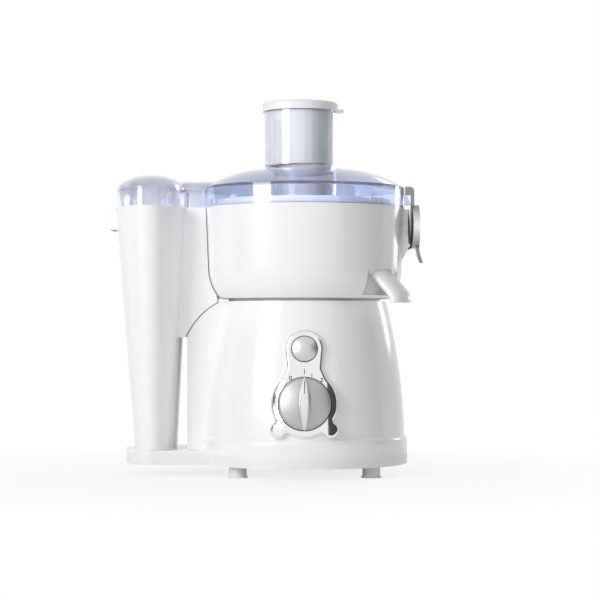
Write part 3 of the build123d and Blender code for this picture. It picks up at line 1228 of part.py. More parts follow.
# Clear lid: one shell over bowl and bin, in one piece with the feed chute and the latch lug

lid_outside = lid_envelope(0)
lid_inside = lid_envelope(LID_WALL)

with BuildPart() as lid:
    add(lid_outside)
    add(lid_inside, mode=Mode.SUBTRACT)
    # locating skirt inside the bowl's rim, left open towards the bin
    with BuildSketch(level(RIM_Z - SKIRT_DEPTH)):
        Circle(BOWL_RIM_RADIUS - BOWL_WALL - FACE_GAP)
        Circle(BOWL_RIM_RADIUS - BOWL_WALL - FACE_GAP - SKIRT_THICKNESS, mode=Mode.SUBTRACT)
        with Locations((-BOWL_RIM_RADIUS, 0)):
            Rectangle(BOWL_RIM_RADIUS, 2 * (NECK_HALF + SKIRT_THICKNESS), mode=Mode.SUBTRACT)
    extrude(amount=SKIRT_DEPTH + SKIRT_THICKNESS)
    with BuildSketch(level(RIM_Z)):
        Circle(BOWL_RIM_RADIUS - BOWL_WALL / 2)
        Circle(BOWL_RIM_RADIUS - BOWL_WALL - FACE_GAP - SKIRT_THICKNESS, mode=Mode.SUBTRACT)
        with Locations((-BOWL_RIM_RADIUS, 0)):
            Rectangle(BOWL_RIM_RADIUS, 2 * (NECK_HALF + SKIRT_THICKNESS), mode=Mode.SUBTRACT)
    extrude(amount=SKIRT_THICKNESS)
    add(chute_form(0))
    add(chute_form(CHUTE_WALL), mode=Mode.SUBTRACT)
    # lug that the latch hooks over
    with BuildSketch(upright(LUG_HALF)):
        Polygon(
            (BOWL_RIM_RADIUS - LID_WALL / 2, RIM_Z + LUG_LOW),
            (LUG_X, RIM_Z + LUG_LOW),
            (BOWL_RIM_RADIUS + LUG_TOP_OUT, RIM_Z + LUG_TOP),
            (BOWL_RIM_RADIUS - LID_WALL / 2, RIM_Z + LUG_TOP),
            align=None,
        )
    extrude(amount=2 * LUG_HALF)
lid.part.label = "lid"
export_step(lid.part, "parts/lid.step")


# Pusher: stepped cup that follows the chute, and its cap

with BuildPart() as pusher_body:
    with BuildSketch(level(PUSHER_Z)):
        Circle(PUSHER_LOW_RADIUS)
    extrude(amount=PUSHER_STEP_Z - PUSHER_Z)
    with BuildSketch(level(PUSHER_STEP_Z, CHUTE_X)):
        Circle(PUSHER_HIGH_RADIUS)
    extrude(amount=CHUTE_Z - PUSHER_STEP_Z)
    with BuildSketch(level(PUSHER_STEP_Z + PUSHER_WALL, CHUTE_X)):
        Circle(PUSHER_HIGH_RADIUS - PUSHER_WALL)
    extrude(amount=CHUTE_Z - PUSHER_STEP_Z - PUSHER_WALL, mode=Mode.SUBTRACT)
    with BuildSketch(level(PUSHER_Z + PUSHER_WALL)):
        Circle(PUSHER_LOW_RADIUS - PUSHER_WALL)
    extrude(amount=PUSHER_STEP_Z - PUSHER_Z, mode=Mode.SUBTRACT)
pusher_body.part.label = "pusher_body"
export_step(pusher_body.part, "parts/pusher_body.step")

with BuildPart() as pusher_cap:
    with BuildSketch(level(CHUTE_Z, CHUTE_X)):
        Circle(CAP_RADIUS)
    extrude(amount=CAP_HEIGHT)
    fillet(pusher_cap.faces().sort_by(Axis.Z)[-1].edges(), CAP_ROUND)
    with BuildSketch(level(CHUTE_Z, CHUTE_X)):
        with Locations(((CAP_RADIUS + TAB_REACH) / 2, 0)):
            RectangleRounded(CAP_RADIUS + TAB_REACH, 2 * TAB_HALF, TAB_REACH - TAB_THICKNESS)
    extrude(amount=TAB_THICKNESS)
    with BuildSketch(level(CHUTE_Z, CHUTE_X)):
        Circle(PUSHER_HIGH_RADIUS - PUSHER_WALL)
        Circle(PUSHER_HIGH_RADIUS - 2 * PUSHER_WALL, mode=Mode.SUBTRACT)
    extrude(amount=-CAP_PLUG)
pusher_cap.part.label = "pusher_cap"
export_step(pusher_cap.part, "parts/pusher_cap.step")


# Pulp bin: tapered cup with a neck towards the bowl and a finger grip on its far side

bin_outside = bin_form(0, TONGUE_Z)
bin_inside = bin_form(BIN_WALL, TONGUE_Z + BIN_FLOOR)

with BuildPart() as pulp_bin:
    add(bin_outside)
    with BuildSketch(level(GRIP_Z, BIN_X - BIN_HALF_X / 2 - GRIP_REACH)):
        Rectangle(BIN_HALF_X, 2 * GRIP_HALF)
    extrude(amount=GRIP_HEIGHT)
    with BuildSketch(level(GRIP_Z, BIN_X - BIN_HALF_X - GRIP_REACH / 2 + GRIP_WALL / 2)):
        Rectangle(GRIP_REACH - GRIP_WALL, 2 * (GRIP_HALF - GRIP_WALL))
    extrude(amount=GRIP_HEIGHT - GRIP_WALL, mode=Mode.SUBTRACT)
    add(bin_inside, mode=Mode.SUBTRACT)
pulp_bin.part.label = "pulp_bin"
export_step(pulp_bin.part, "parts/pulp_bin.step")


# Filter basket: hub with the drive socket, grater disc, slotted sieve and rim ring

with BuildPart() as basket_hub:
    with BuildSketch(level(HUB_Z)):
        Circle(HUB_RADIUS)
    extrude(amount=HUB_THICKNESS)
    with BuildSketch(level(HUB_Z)):
        Circle(HUB_BOSS_RADIUS)
    extrude(amount=COUPLING_Z + SOCKET_LIFT - HUB_Z)
    with BuildSketch(level(COUPLING_Z)):
        coupling_outline(FACE_GAP)
    extrude(amount=COUPLING_HEIGHT + FACE_GAP, mode=Mode.SUBTRACT)
basket_hub.part.label = "basket_hub"
export_step(basket_hub.part, "parts/basket_hub.step")

with BuildPart() as grater_disc:
    with BuildSketch(level(BASKET_Z)):
        Circle(GRATER_RADIUS)
    extrude(amount=GRATER_THICKNESS)
    with BuildSketch(level(GRATER_Z)):
        for ring in range(1, TOOTH_RINGS + 1):
            with PolarLocations(ring * TOOTH_PITCH, ring * TOOTH_COUNT, ring * TOOTH_STAGGER):
                Rectangle(TOOTH_WIDTH, TOOTH_LENGTH, rotation=TOOTH_STAGGER)
    extrude(amount=TOOTH_HEIGHT, taper=TOOTH_TAPER)
grater_disc.part.label = "grater_disc"
export_step(grater_disc.part, "parts/grater_disc.step")

with BuildPart() as filter_sieve:
    with BuildSketch(upright()):
        Polygon(
            (SIEVE_FOOT_RADIUS, BASKET_Z),
            (SIEVE_FOOT_RADIUS + SIEVE_WALL, BASKET_Z),
            (SIEVE_TOP_RADIUS + SIEVE_WALL, SIEVE_Z),
            (SIEVE_TOP_RADIUS, SIEVE_Z),
            align=None,
        )
    revolve(axis=SPINDLE)
    for row in range(SIEVE_ROWS):
        row_height = SIEVE_HEIGHT / SIEVE_ROWS
        with BuildSketch(level(BASKET_Z + row * row_height + SIEVE_BAND / 2)):
            with PolarLocations(SIEVE_TOP_RADIUS, SIEVE_SLOTS):
                Rectangle(SIEVE_TOP_RADIUS, SIEVE_SLOT_WIDTH)
        extrude(amount=row_height - SIEVE_BAND, mode=Mode.SUBTRACT)
filter_sieve.part.label = "filter_sieve"
export_step(filter_sieve.part, "parts/filter_sieve.step")

with BuildPart() as basket_rim:
    with BuildSketch(level(SIEVE_Z)):
        Circle(RIM_RING_RADIUS)
    extrude(amount=RIM_RING_HEIGHT)
    with BuildSketch(level(SIEVE_Z)):
        Circle(RIM_RING_RADIUS + RIM_FLANGE)
    extrude(amount=RIM_FLANGE_THICKNESS)
    with BuildSketch(level(SIEVE_Z)):
        Circle(RIM_RING_RADIUS - RIM_RING_WALL)
    extrude(amount=RIM_RING_HEIGHT, mode=Mode.SUBTRACT)
basket_rim.part.label = "basket_rim"
export_step(basket_rim.part, "parts/basket_rim.step")


# Latch: pin through the bowl's ears, and an arm with hook, round finger plate and tail

with BuildPart() as latch_pin:
    with BuildSketch(upright(LATCH_HALF + FACE_GAP + EAR_THICKNESS)):
        with Locations((PIVOT_X, PIVOT_Z)):
            Circle(PIN_RADIUS)
    extrude(amount=2 * (LATCH_HALF + FACE_GAP + EAR_THICKNESS))
latch_pin.part.label = "latch_pin"
export_step(latch_pin.part, "parts/latch_pin.step")

with BuildPart() as latch_arm:
    with BuildSketch(upright(LATCH_HALF)) as arm_side:
        with Locations((PIVOT_X, PIVOT_Z)):
            Circle(LATCH_EYE_RADIUS)
        Polygon(
            (PIVOT_X, PIVOT_Z),
            (PIVOT_X + LATCH_EYE_RADIUS, PIVOT_Z),
            (ARM_X + ARM_THICKNESS, PIVOT_Z + LATCH_EYE_RADIUS),
            (ARM_X + ARM_THICKNESS, HOOK_Z + HOOK_THICKNESS),
            (HOOK_TIP_X, HOOK_Z + HOOK_THICKNESS),
            (HOOK_TIP_X, HOOK_Z),
            (ARM_X, HOOK_Z),
            (ARM_X, PIVOT_Z + 2 * LATCH_EYE_RADIUS),
            align=None,
        )
        fillet(arm_side.vertices().sort_by(Axis.Y)[-2:].sort_by(Axis.X)[-1], HOOK_ROUND)
        with Locations((PIVOT_X, PIVOT_Z)):
            Circle(PIN_RADIUS + RUN_GAP, mode=Mode.SUBTRACT)
    extrude(amount=2 * LATCH_HALF)
    # round finger plate with a domed face
    with BuildSketch(upright()):
        with BuildLine():
            Polyline(
                (DISC_X + DISC_RIM + DISC_CROWN, DISC_Z),
                (DISC_X, DISC_Z),
                (DISC_X, DISC_Z + DISC_RADIUS),
                (DISC_X + DISC_RIM, DISC_Z + DISC_RADIUS),
            )
            edge = (DISC_X + DISC_RIM, DISC_Z + DISC_RADIUS)
            SagittaArc(edge, (DISC_X + DISC_RIM + DISC_CROWN, DISC_Z), DISC_CROWN / 4)
        make_face()
    revolve(axis=Axis((AXIS_X, AXIS_Y, DISC_Z), (1, 0, 0)))
    # tail that the finger lifts
    with BuildSketch(upright(TAIL_HALF)):
        with BuildLine():
            root = (DISC_X + DISC_RIM - TAIL_THICKNESS, DISC_Z - DISC_RADIUS / 2)
            outer_root = (DISC_X + DISC_RIM, DISC_Z - DISC_RADIUS / 2)
            tip = (BOWL_RIM_RADIUS + TAIL_OUT - TAIL_THICKNESS, RIM_Z - TAIL_DROP)
            outer_tip = (BOWL_RIM_RADIUS + TAIL_OUT, RIM_Z - TAIL_DROP)
            SagittaArc(root, tip, -TAIL_THICKNESS / 2)
            Line(tip, outer_tip)
            SagittaArc(outer_tip, outer_root, TAIL_THICKNESS / 2)
            Line(outer_root, root)
        make_face()
    extrude(amount=2 * TAIL_HALF)
latch_arm.part.label = "latch_arm"
export_step(latch_arm.part, "parts/latch_arm.step")
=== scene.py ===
"""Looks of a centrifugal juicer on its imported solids, in metres, +Z up, controls facing -Y."""

import json
import logging
import math
from dataclasses import dataclass, field, replace
from enum import Enum

import bpy
import numpy as np
from mathutils import Matrix, Vector


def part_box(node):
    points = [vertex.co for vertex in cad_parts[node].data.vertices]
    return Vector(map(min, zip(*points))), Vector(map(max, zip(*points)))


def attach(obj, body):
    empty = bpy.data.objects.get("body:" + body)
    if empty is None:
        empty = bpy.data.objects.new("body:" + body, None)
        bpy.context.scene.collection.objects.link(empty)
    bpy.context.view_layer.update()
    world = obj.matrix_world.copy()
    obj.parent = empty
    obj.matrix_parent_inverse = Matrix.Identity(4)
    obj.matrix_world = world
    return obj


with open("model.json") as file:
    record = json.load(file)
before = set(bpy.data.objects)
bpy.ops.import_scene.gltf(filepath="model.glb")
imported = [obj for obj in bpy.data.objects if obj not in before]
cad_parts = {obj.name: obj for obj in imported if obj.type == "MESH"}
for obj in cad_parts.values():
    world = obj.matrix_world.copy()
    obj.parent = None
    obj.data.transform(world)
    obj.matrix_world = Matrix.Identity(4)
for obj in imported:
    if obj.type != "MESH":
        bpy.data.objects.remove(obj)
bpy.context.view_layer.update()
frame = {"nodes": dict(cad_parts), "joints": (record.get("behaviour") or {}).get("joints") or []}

LOG = logging.getLogger("juicer")
Socket = bpy.types.NodeSocket
Rgb = tuple[float, float, float]
Place = tuple[float, float, float]
Pair = tuple[float, float]

MM = 0.001
ALL_AXES: Place = (1.0, 1.0, 1.0)
ORIGIN: Place = (0.0, 0.0, 0.0)
WHITE = (1.0, 1.0, 1.0, 1.0)
CORNERS = np.array([(-1, -1, 0), (1, -1, 0), (1, 1, 0), (-1, 1, 0)], float)
ONE_FACE = [(0, 1, 2, 3)]

FACTOR_RANGE: Pair = (0.3, 0.7)  # nearly all of a noise lies between these
DRIFT_SCALE, DRIFT_DETAIL = 22.0, 4.0  # patches of a finish's colour
SHINE_SCALE, SHINE_DETAIL = 90.0, 3.0  # patches of a finish's roughness
GRAIN_DETAIL, GRAIN_STRENGTH = 2.0, 0.35  # fine grain of a finish
WIRE_WOBBLE = 0.4  # unevenness of turns of wire
HOLE_SCATTER = 0.15  # unevenness of etched holes


class Grain(Enum):
    """Ways in which the fine texture of a finish runs, as stretches of its coordinates."""

    EVEN = (1.0, 1.0, 1.0)
    UPRIGHT = (1.0, 1.0, 0.04)
    LEVEL = (0.04, 1.0, 1.0)
    SHEETS = (0.01, 0.01, 1.0)


class Figure(Enum):
    """Figures printed round the knob."""

    ZERO = "0"
    ONE = "1"
    TWO = "2"


class Nodes:
    """Nodes of one material or world, with short calls to add and link them."""

    def __init__(self, owner: bpy.types.ID) -> None:
        """Start with an empty tree.

        Args:
            owner: Material or world that the nodes belong to.
        """
        owner.use_nodes = True
        self.tree = owner.node_tree
        self.tree.nodes.clear()

    def fill(self, node: bpy.types.ShaderNode, **values: object) -> None:
        """Set inputs of a node, named with underscores for their blanks."""
        for name, value in values.items():
            node.inputs[name.replace("_", " ")].default_value = value

    def add(self, kind: str, **values: object) -> bpy.types.ShaderNode:
        """Add a shader node and set its inputs.

        Args:
            kind: Blender's name of the node, after its first word ShaderNode.
            values: Value by name of the input.

        Returns:
            The new node.
        """
        node = self.tree.nodes.new(f"ShaderNode{kind}")
        self.fill(node, **values)
        return node

    def link(self, source: Socket, target: Socket) -> None:
        """Link one socket to another."""
        self.tree.links.new(source, target)

    def coords(self) -> Socket:
        """Coordinates of the object itself."""
        return self.add("TexCoord").outputs["Object"]

    def length(self, vector: Socket) -> Socket:
        """Length of a vector.

        Args:
            vector: Socket of the vector.

        Returns:
            The length's socket.
        """
        node = self.add("VectorMath")
        node.operation = "LENGTH"
        self.link(vector, node.inputs[0])
        return node.outputs["Value"]

    def maths(self, operation: str, *terms: Socket | float) -> Socket:
        """Work out one value.

        Args:
            operation: Blender's name of the operation.
            terms: Sockets or plain numbers, in the operation's order.

        Returns:
            The result's socket.
        """
        node = self.add("Math")
        node.operation = operation
        for term, target in zip(terms, node.inputs):
            if isinstance(term, Socket):
                self.link(term, target)
            else:
                target.default_value = term
        return node.outputs[0]

    def ranged(self, value: Socket, start: Pair, end: Pair = (0.0, 1.0)) -> Socket:
        """Carry a value from one range to another, held at the ends.

        Args:
            value: Socket of the value.
            start: Ends of the value's own range.
            end: Ends of the new range.

        Returns:
            The new value's socket.
        """
        node = self.add("MapRange", From_Min=start[0], From_Max=start[1],
                        To_Min=end[0], To_Max=end[1])
        self.link(value, node.inputs["Value"])
        return node.outputs["Result"]

    def seen(self) -> Socket:
        """Factor that is 1 for the camera's rays and for what metal and glass show of the room.

        Returns:
            The factor's socket.
        """
        path = self.add("LightPath").outputs
        mirrored = self.maths("MAXIMUM", path["Is Glossy Ray"], path["Is Transmission Ray"])
        return self.maths("MAXIMUM", path["Is Camera Ray"], mirrored)

    def mix_out(self, kind: str, share: Socket, first: bpy.types.ShaderNode,
                second: bpy.types.ShaderNode) -> None:
        """Put out a mix of two shaders.

        Args:
            kind: Kind of the output node.
            share: Share of the second shader.
            first: First shader.
            second: Second shader.
        """
        mix, output = self.add("MixShader"), self.add(kind)
        self.link(share, mix.inputs["Fac"])
        self.link(first.outputs[0], mix.inputs[1])
        self.link(second.outputs[0], mix.inputs[2])
        self.link(mix.outputs[0], output.inputs["Surface"])


class FinishNodes(Nodes):
    """Nodes of one finish, round its Principled shader."""

    def __init__(self, name: str) -> None:
        """Start a material that holds one Principled shader.

        Args:
            name: Name of the material.
        """
        self.material = bpy.data.materials.new(name)
        super().__init__(self.material)
        self.output = self.add("OutputMaterial")
        self.shader = self.add("BsdfPrincipled")
        self.link(self.shader.outputs["BSDF"], self.output.inputs["Surface"])
        self.spot = self.coords()

    def feed(self, source: Socket, socket: str) -> None:
        """Link a socket to one of the shader's inputs."""
        self.link(source, self.shader.inputs[socket])

    def mapped(self, scale: Place, shift: Place = ORIGIN) -> Socket:
        """Stretch the object's own coordinates, and then move them.

        Args:
            scale: Stretch of each axis.
            shift: Move along each axis, in metres.

        Returns:
            The socket of the new coordinates.
        """
        node = self.add("Mapping", Scale=scale, Location=shift)
        self.link(self.spot, node.inputs["Vector"])
        return node.outputs["Vector"]

    def noise(self, scale: float, detail: float, grain: Grain = Grain.EVEN) -> Socket:
        """Noise on the object's own coordinates.

        Args:
            scale: Cells per metre.
            detail: Octaves of the noise.
            grain: Stretch of the coordinates.

        Returns:
            The factor's socket.
        """
        node = self.add("TexNoise", Scale=scale, Detail=detail)
        self.link(self.mapped(grain.value), node.inputs["Vector"])
        return node.outputs["Fac"]

    def bands(self, scale: float, grain: Grain) -> Socket:
        """Bands along Z, such as stacked sheets or turns of wire.

        Args:
            scale: Scale of the bands, per metre.
            grain: Way the finish runs: turns of wire, which run evenly, wobble a little.

        Returns:
            The factor's socket.
        """
        wobble = WIRE_WOBBLE if grain is Grain.EVEN else 0.0
        node = self.add("TexWave", Scale=scale, Distortion=wobble)
        node.bands_direction = "Z"
        self.link(self.spot, node.inputs["Vector"])
        return node.outputs["Fac"]

    def pits(self, scale: float) -> Socket:
        """Distance from the middle of the nearest cell, for etched holes.

        Args:
            scale: Cells per metre.

        Returns:
            The distance's socket.
        """
        node = self.add("TexVoronoi", Scale=scale, Randomness=HOLE_SCATTER)
        self.link(self.spot, node.inputs["Vector"])
        return node.outputs["Distance"]

    def tones(self, factor: Socket, dark: Rgb, light: Rgb) -> Socket:
        """Colour between two tones.

        Args:
            factor: Socket of the factor.
            dark: Tone at the low end of the factor's range.
            light: Tone at the high end.

        Returns:
            The colour's socket.
        """
        node = self.add("ValToRGB")
        stops = node.color_ramp.elements
        for stop, position, tone in zip(stops, FACTOR_RANGE, (dark, light)):
            stop.position, stop.color = position, (*tone, 1.0)
        self.link(factor, node.inputs["Fac"])
        return node.outputs["Color"]

    def bump(self, height: Socket, strength: float, depth: float) -> None:
        """Raise the surface.

        Args:
            height: Socket of the height.
            strength: Strength of the bump.
            depth: Rise for a height of 1, in metres.
        """
        node = self.add("Bump", Strength=strength, Distance=depth)
        self.link(height, node.inputs["Height"])
        self.feed(node.outputs["Normal"], "Normal")

    def reach(self, centre: Place, spread: Place) -> Socket:
        """Distance of the surface from a place, in metres.

        Args:
            centre: The place, in metres.
            spread: Share of each axis in the distance: a Z of 0 measures from an upright axis.

        Returns:
            The distance's socket.
        """
        shift = tuple(-place * share for place, share in zip(centre, spread))
        return self.length(self.mapped(spread, shift))


@dataclass(frozen=True)
class Zone:
    """Zone round a place in which a finish has another tone, such as painted shade or a painted
    highlight.

    Attributes:
        tone: Tone in the zone.
        centre: Middle of the zone, in metres.
        near: Distance up to which the tone holds, in metres.
        far: Distance from which the finish's own tone holds, in metres.
        spread: Share of each axis in the distance: a Z of 0 measures from an upright axis.
    """

    tone: Rgb
    centre: Place
    near: float
    far: float
    spread: Place = ALL_AXES

    def over(self, sheet: FinishNodes, colour: Socket) -> Socket:
        """Lay the zone over a colour.

        Args:
            sheet: Nodes of the material.
            colour: Socket of the colour.

        Returns:
            The new colour's socket.
        """
        reach = sheet.reach(self.centre, self.spread)
        node = sheet.add("MixRGB", Color1=(*self.tone, 1.0))
        sheet.link(sheet.ranged(reach, (self.near, self.far)), node.inputs["Fac"])
        sheet.link(colour, node.inputs["Color2"])
        return node.outputs["Color"]


@dataclass(frozen=True)
class Finish:
    """One finish: a tone that drifts a little, a roughness that varies, and a fine grain.

    Attributes:
        name: Name of the finish, used for its material.
        tone: Colour where the drift is lightest.
        drift: Share by which the colour darkens in patches.
        roughness: Least and greatest roughness.
        grain_scale: Grain cells per metre.
        grain_depth: Depth of the grain, in metres.
        grain: Way the grain runs.
        metal: Metallic share.
        coat: Weight of a clear coat.
        zones: Zones with another tone.
    """

    name: str
    tone: Rgb
    drift: float = 0.02
    roughness: Pair = (0.18, 0.26)
    grain_scale: float = 700.0
    grain_depth: float = 0.02 * MM
    grain: Grain = Grain.EVEN
    metal: float = 0.0
    coat: float = 0.0
    zones: tuple[Zone, ...] = ()

    def colour(self, sheet: FinishNodes) -> Socket:
        """Colour that drifts a little from place to place and gives way to the zones' tones.

        Args:
            sheet: Nodes of the material.

        Returns:
            The colour's socket.
        """
        dark = tuple(channel * (1.0 - self.drift) for channel in self.tone)
        colour = sheet.tones(sheet.noise(DRIFT_SCALE, DRIFT_DETAIL), dark, self.tone)
        for zone in self.zones:
            colour = zone.over(sheet, colour)
        return colour

    def height(self, sheet: FinishNodes) -> Socket:
        """Height of the fine grain."""
        return sheet.noise(self.grain_scale, GRAIN_DETAIL, self.grain)

    def surface(self, sheet: FinishNodes) -> None:
        """Raise the fine grain."""
        sheet.bump(self.height(sheet), GRAIN_STRENGTH, self.grain_depth)

    def body(self, sheet: FinishNodes) -> None:
        """Set what the light does inside the piece: nothing, for a finish that is not clear."""

    def material(self) -> bpy.types.Material:
        """Material of this finish, made once.

        Returns:
            The material, shared by all the pieces that have this finish.
        """
        made = bpy.data.materials.get(self.name)
        if made is not None:
            return made
        sheet = FinishNodes(self.name)
        shine = sheet.noise(SHINE_SCALE, SHINE_DETAIL, self.grain)
        sheet.feed(self.colour(sheet), "Base Color")
        sheet.feed(sheet.ranged(shine, FACTOR_RANGE, self.roughness), "Roughness")
        self.surface(sheet)
        sheet.fill(sheet.shader, Metallic=self.metal, Coat_Weight=self.coat)
        self.body(sheet)
        return sheet.material


@dataclass(frozen=True)
class Banded(Finish):
    """Finish whose grain is bands along Z: stacked sheets, or turns of wire.

    Attributes:
        band_scale: Scale of the bands, per metre.
    """

    band_scale: float = 400.0

    def height(self, sheet: FinishNodes) -> Socket:
        """Height of the bands."""
        return sheet.bands(self.band_scale, self.grain)


@dataclass(frozen=True)
class Etched(Finish):
    """Metal with fine holes etched through it.

    Attributes:
        holes_per_metre: Holes in a row a metre long.
        hole_tone: Tone in the holes.
    """

    holes_per_metre: float = 900.0
    hole_tone: Rgb = (0.05, 0.05, 0.05)

    def colour(self, sheet: FinishNodes) -> Socket:
        """Colour that is dark in the holes."""
        return sheet.tones(sheet.pits(self.holes_per_metre), self.hole_tone, self.tone)

    def height(self, sheet: FinishNodes) -> Socket:
        """Height that sinks in the holes."""
        return sheet.pits(self.holes_per_metre)


@dataclass(frozen=True)
class Clear(Finish):
    """Clear or frosted plastic, tinted by the way that light travels in it.

    Attributes:
        through: Weight of light that passes through.
        ior: Index of refraction.
        tint: Colour of the plastic in the thick.
        density: Strength of the tint, per metre.
        cover: Share of the surface that shows at all.
    """

    through: float = 1.0
    ior: float = 1.2
    tint: Rgb = (1.0, 1.0, 1.0)
    density: float = 0.0
    cover: float = 1.0

    def body(self, sheet: FinishNodes) -> None:
        """Let light through and tint it on its way.

        Args:
            sheet: Nodes of the material.
        """
        sheet.fill(sheet.shader, Transmission_Weight=self.through, IOR=self.ior, Alpha=self.cover)
        if self.density > 0.0:
            tint = sheet.add("VolumeAbsorption", Color=(*self.tint, 1.0), Density=self.density)
            sheet.link(tint.outputs["Volume"], sheet.output.inputs["Volume"])


@dataclass(frozen=True)
class Crowned(Finish):
    """Finish of a face that is crowned a little, like a pressed knob's.

    Attributes:
        centre: Middle of the face, in metres.
        radius: Radius of the crown, in metres.
        spread: Share of each axis in the crown's fall.
    """

    centre: Place = ORIGIN
    radius: float = 60.0 * MM
    spread: Place = ALL_AXES

    def surface(self, sheet: FinishNodes) -> None:
        """Raise the crown with its grain on it.

        The height is the grain's height times its depth, minus the square of the distance from
        the middle over twice the radius.

        Args:
            sheet: Nodes of the material.
        """
        reach = sheet.reach(self.centre, self.spread)
        fall = sheet.maths("MULTIPLY", sheet.maths("MULTIPLY", reach, reach), -0.5 / self.radius)
        height = sheet.maths("MULTIPLY_ADD", self.height(sheet), self.grain_depth, fall)
        sheet.bump(height, strength=1.0, depth=1.0)


WHITE_GLOSS = Finish(
    "white_gloss", tone=(0.90, 0.905, 0.915), drift=0.012, roughness=(0.20, 0.215),
    grain_scale=240.0, grain_depth=0.02 * MM, coat=0.1)
WHITE_SATIN = Finish(
    "white_satin", tone=(0.86, 0.865, 0.875), drift=0.02, roughness=(0.30, 0.40),
    grain_scale=900.0, grain_depth=0.03 * MM)
CLEAR_BLUE = Clear(
    "clear_blue", tone=(0.70, 0.75, 0.895), drift=0.01, roughness=(0.01, 0.03),
    grain_scale=60.0, grain_depth=0.02 * MM, coat=1.0,
    ior=1.32, cover=0.9, tint=(0.13, 0.23, 0.59), density=34.0)
FROSTED_GREY = Clear(
    "frosted_grey", tone=(0.60, 0.605, 0.625), drift=0.01, roughness=(0.32, 0.38),
    grain_scale=300.0, grain_depth=0.005 * MM, through=0.12, ior=1.4)
BRIGHT_PLATE = Crowned(
    "bright_plate", tone=(0.84, 0.845, 0.855), drift=0.03, roughness=(0.05, 0.09),
    grain_scale=120.0, grain_depth=0.006 * MM, metal=1.0,
    radius=62.0 * MM, spread=(1.0, 1.0, 0.3))
SILVER_PAINT = Finish(
    "silver_paint", tone=(0.66, 0.665, 0.675), drift=0.05, roughness=(0.32, 0.40),
    grain_scale=2600.0, grain_depth=0.02 * MM, metal=0.8)
SILVER_FACE = Crowned(
    "silver_face", tone=(0.52, 0.525, 0.535), drift=0.05, roughness=(0.40, 0.48),
    grain_scale=2600.0, grain_depth=0.007 * MM, metal=0.8, radius=58.0 * MM)
SILVER_LATCH = Finish(
    "silver_latch", tone=(0.32, 0.325, 0.335), drift=0.15, roughness=(0.26, 0.36),
    grain_scale=2600.0, grain_depth=0.03 * MM, grain=Grain.LEVEL, metal=0.9)
FOOT_RUBBER = Finish(
    "foot_rubber", tone=(0.80, 0.80, 0.81), drift=0.08, roughness=(0.55, 0.75),
    grain_scale=1400.0, grain_depth=0.06 * MM)
BLACK_RUBBER = Finish(
    "black_rubber", tone=(0.035, 0.035, 0.037), drift=0.2, roughness=(0.55, 0.75),
    grain_scale=1400.0, grain_depth=0.06 * MM)
TURNED_STEEL = Finish(
    "turned_steel", tone=(0.62, 0.62, 0.63), drift=0.06, roughness=(0.22, 0.36),
    grain_scale=1500.0, grain_depth=0.02 * MM, grain=Grain.UPRIGHT, metal=1.0)
PUNCHED_STEEL = Finish(
    "punched_steel", tone=(0.68, 0.68, 0.69), drift=0.06, roughness=(0.20, 0.32),
    grain_scale=2200.0, grain_depth=0.02 * MM, grain=Grain.LEVEL, metal=1.0)
ETCHED_STEEL = Etched(
    "etched_steel", tone=(0.66, 0.66, 0.67), roughness=(0.22, 0.34),
    grain_depth=0.2 * MM, metal=1.0)
CAST_ALLOY = Finish(
    "cast_alloy", tone=(0.55, 0.56, 0.57), drift=0.10, roughness=(0.42, 0.58),
    grain_scale=900.0, grain_depth=0.12 * MM, metal=0.9)
CORE_SHEETS = Banded(
    "core_sheets", tone=(0.30, 0.31, 0.33), drift=0.15, roughness=(0.34, 0.5),
    grain_depth=0.12 * MM, grain=Grain.SHEETS, metal=0.9, band_scale=330.0)
COPPER_WIRE = Banded(
    "copper_wire", tone=(0.62, 0.27, 0.10), drift=0.2, roughness=(0.25, 0.4),
    grain_depth=0.3 * MM, metal=0.9, coat=0.4, band_scale=210.0)
COPPER_BARS = Finish(
    "copper_bars", tone=(0.70, 0.36, 0.20), drift=0.12, roughness=(0.25, 0.4),
    grain_scale=1500.0, grain_depth=0.03 * MM, grain=Grain.LEVEL, metal=1.0)
PRESSED_CARBON = Finish(
    "pressed_carbon", tone=(0.03, 0.03, 0.032), drift=0.3, roughness=(0.5, 0.7),
    grain_scale=3000.0, grain_depth=0.05 * MM)
BLACK_MOULDING = Finish(
    "black_moulding", tone=(0.045, 0.045, 0.048), drift=0.2, roughness=(0.38, 0.52),
    grain_scale=1800.0, grain_depth=0.05 * MM)
MARK_INK = Finish(
    "mark_ink", tone=(0.05, 0.05, 0.055), drift=0.1, roughness=(0.4, 0.5),
    grain_scale=2500.0, grain_depth=0.01 * MM)


def joint_of(name: str) -> dict:
    """Packed joint of a name."""
    return next(joint for joint in frame["joints"] if joint["name"] == name)


def upright(ends: Pair, points: int) -> np.ndarray:
    """Straight path: x is 0, and y goes in even steps from one end to the other."""
    return np.stack([np.zeros(points), np.linspace(*ends, points)], -1)


def whole_turn(points: int) -> np.ndarray:
    """Angles in even steps round a circle, without the last, which is the first again."""
    return np.linspace(0, 2 * np.pi, points, endpoint=False)


def new_object(name: str, points: np.ndarray, faces: list,
               material: bpy.types.Material) -> bpy.types.Object:
    """Object of a mesh, at the origin.

    Args:
        name: Name of the object.
        points: Array (..., 3) of its points, in metres in the row frame.
        faces: Numbers of the points round each face.
        material: Its material.

    Returns:
        The new object.
    """
    mesh = bpy.data.meshes.new(name)
    mesh.from_pydata(points.reshape(-1, 3).tolist(), [], faces)
    mesh.validate()
    mesh.materials.append(material)
    made = bpy.data.objects.new(name, mesh)
    bpy.context.scene.collection.objects.link(made)
    return made


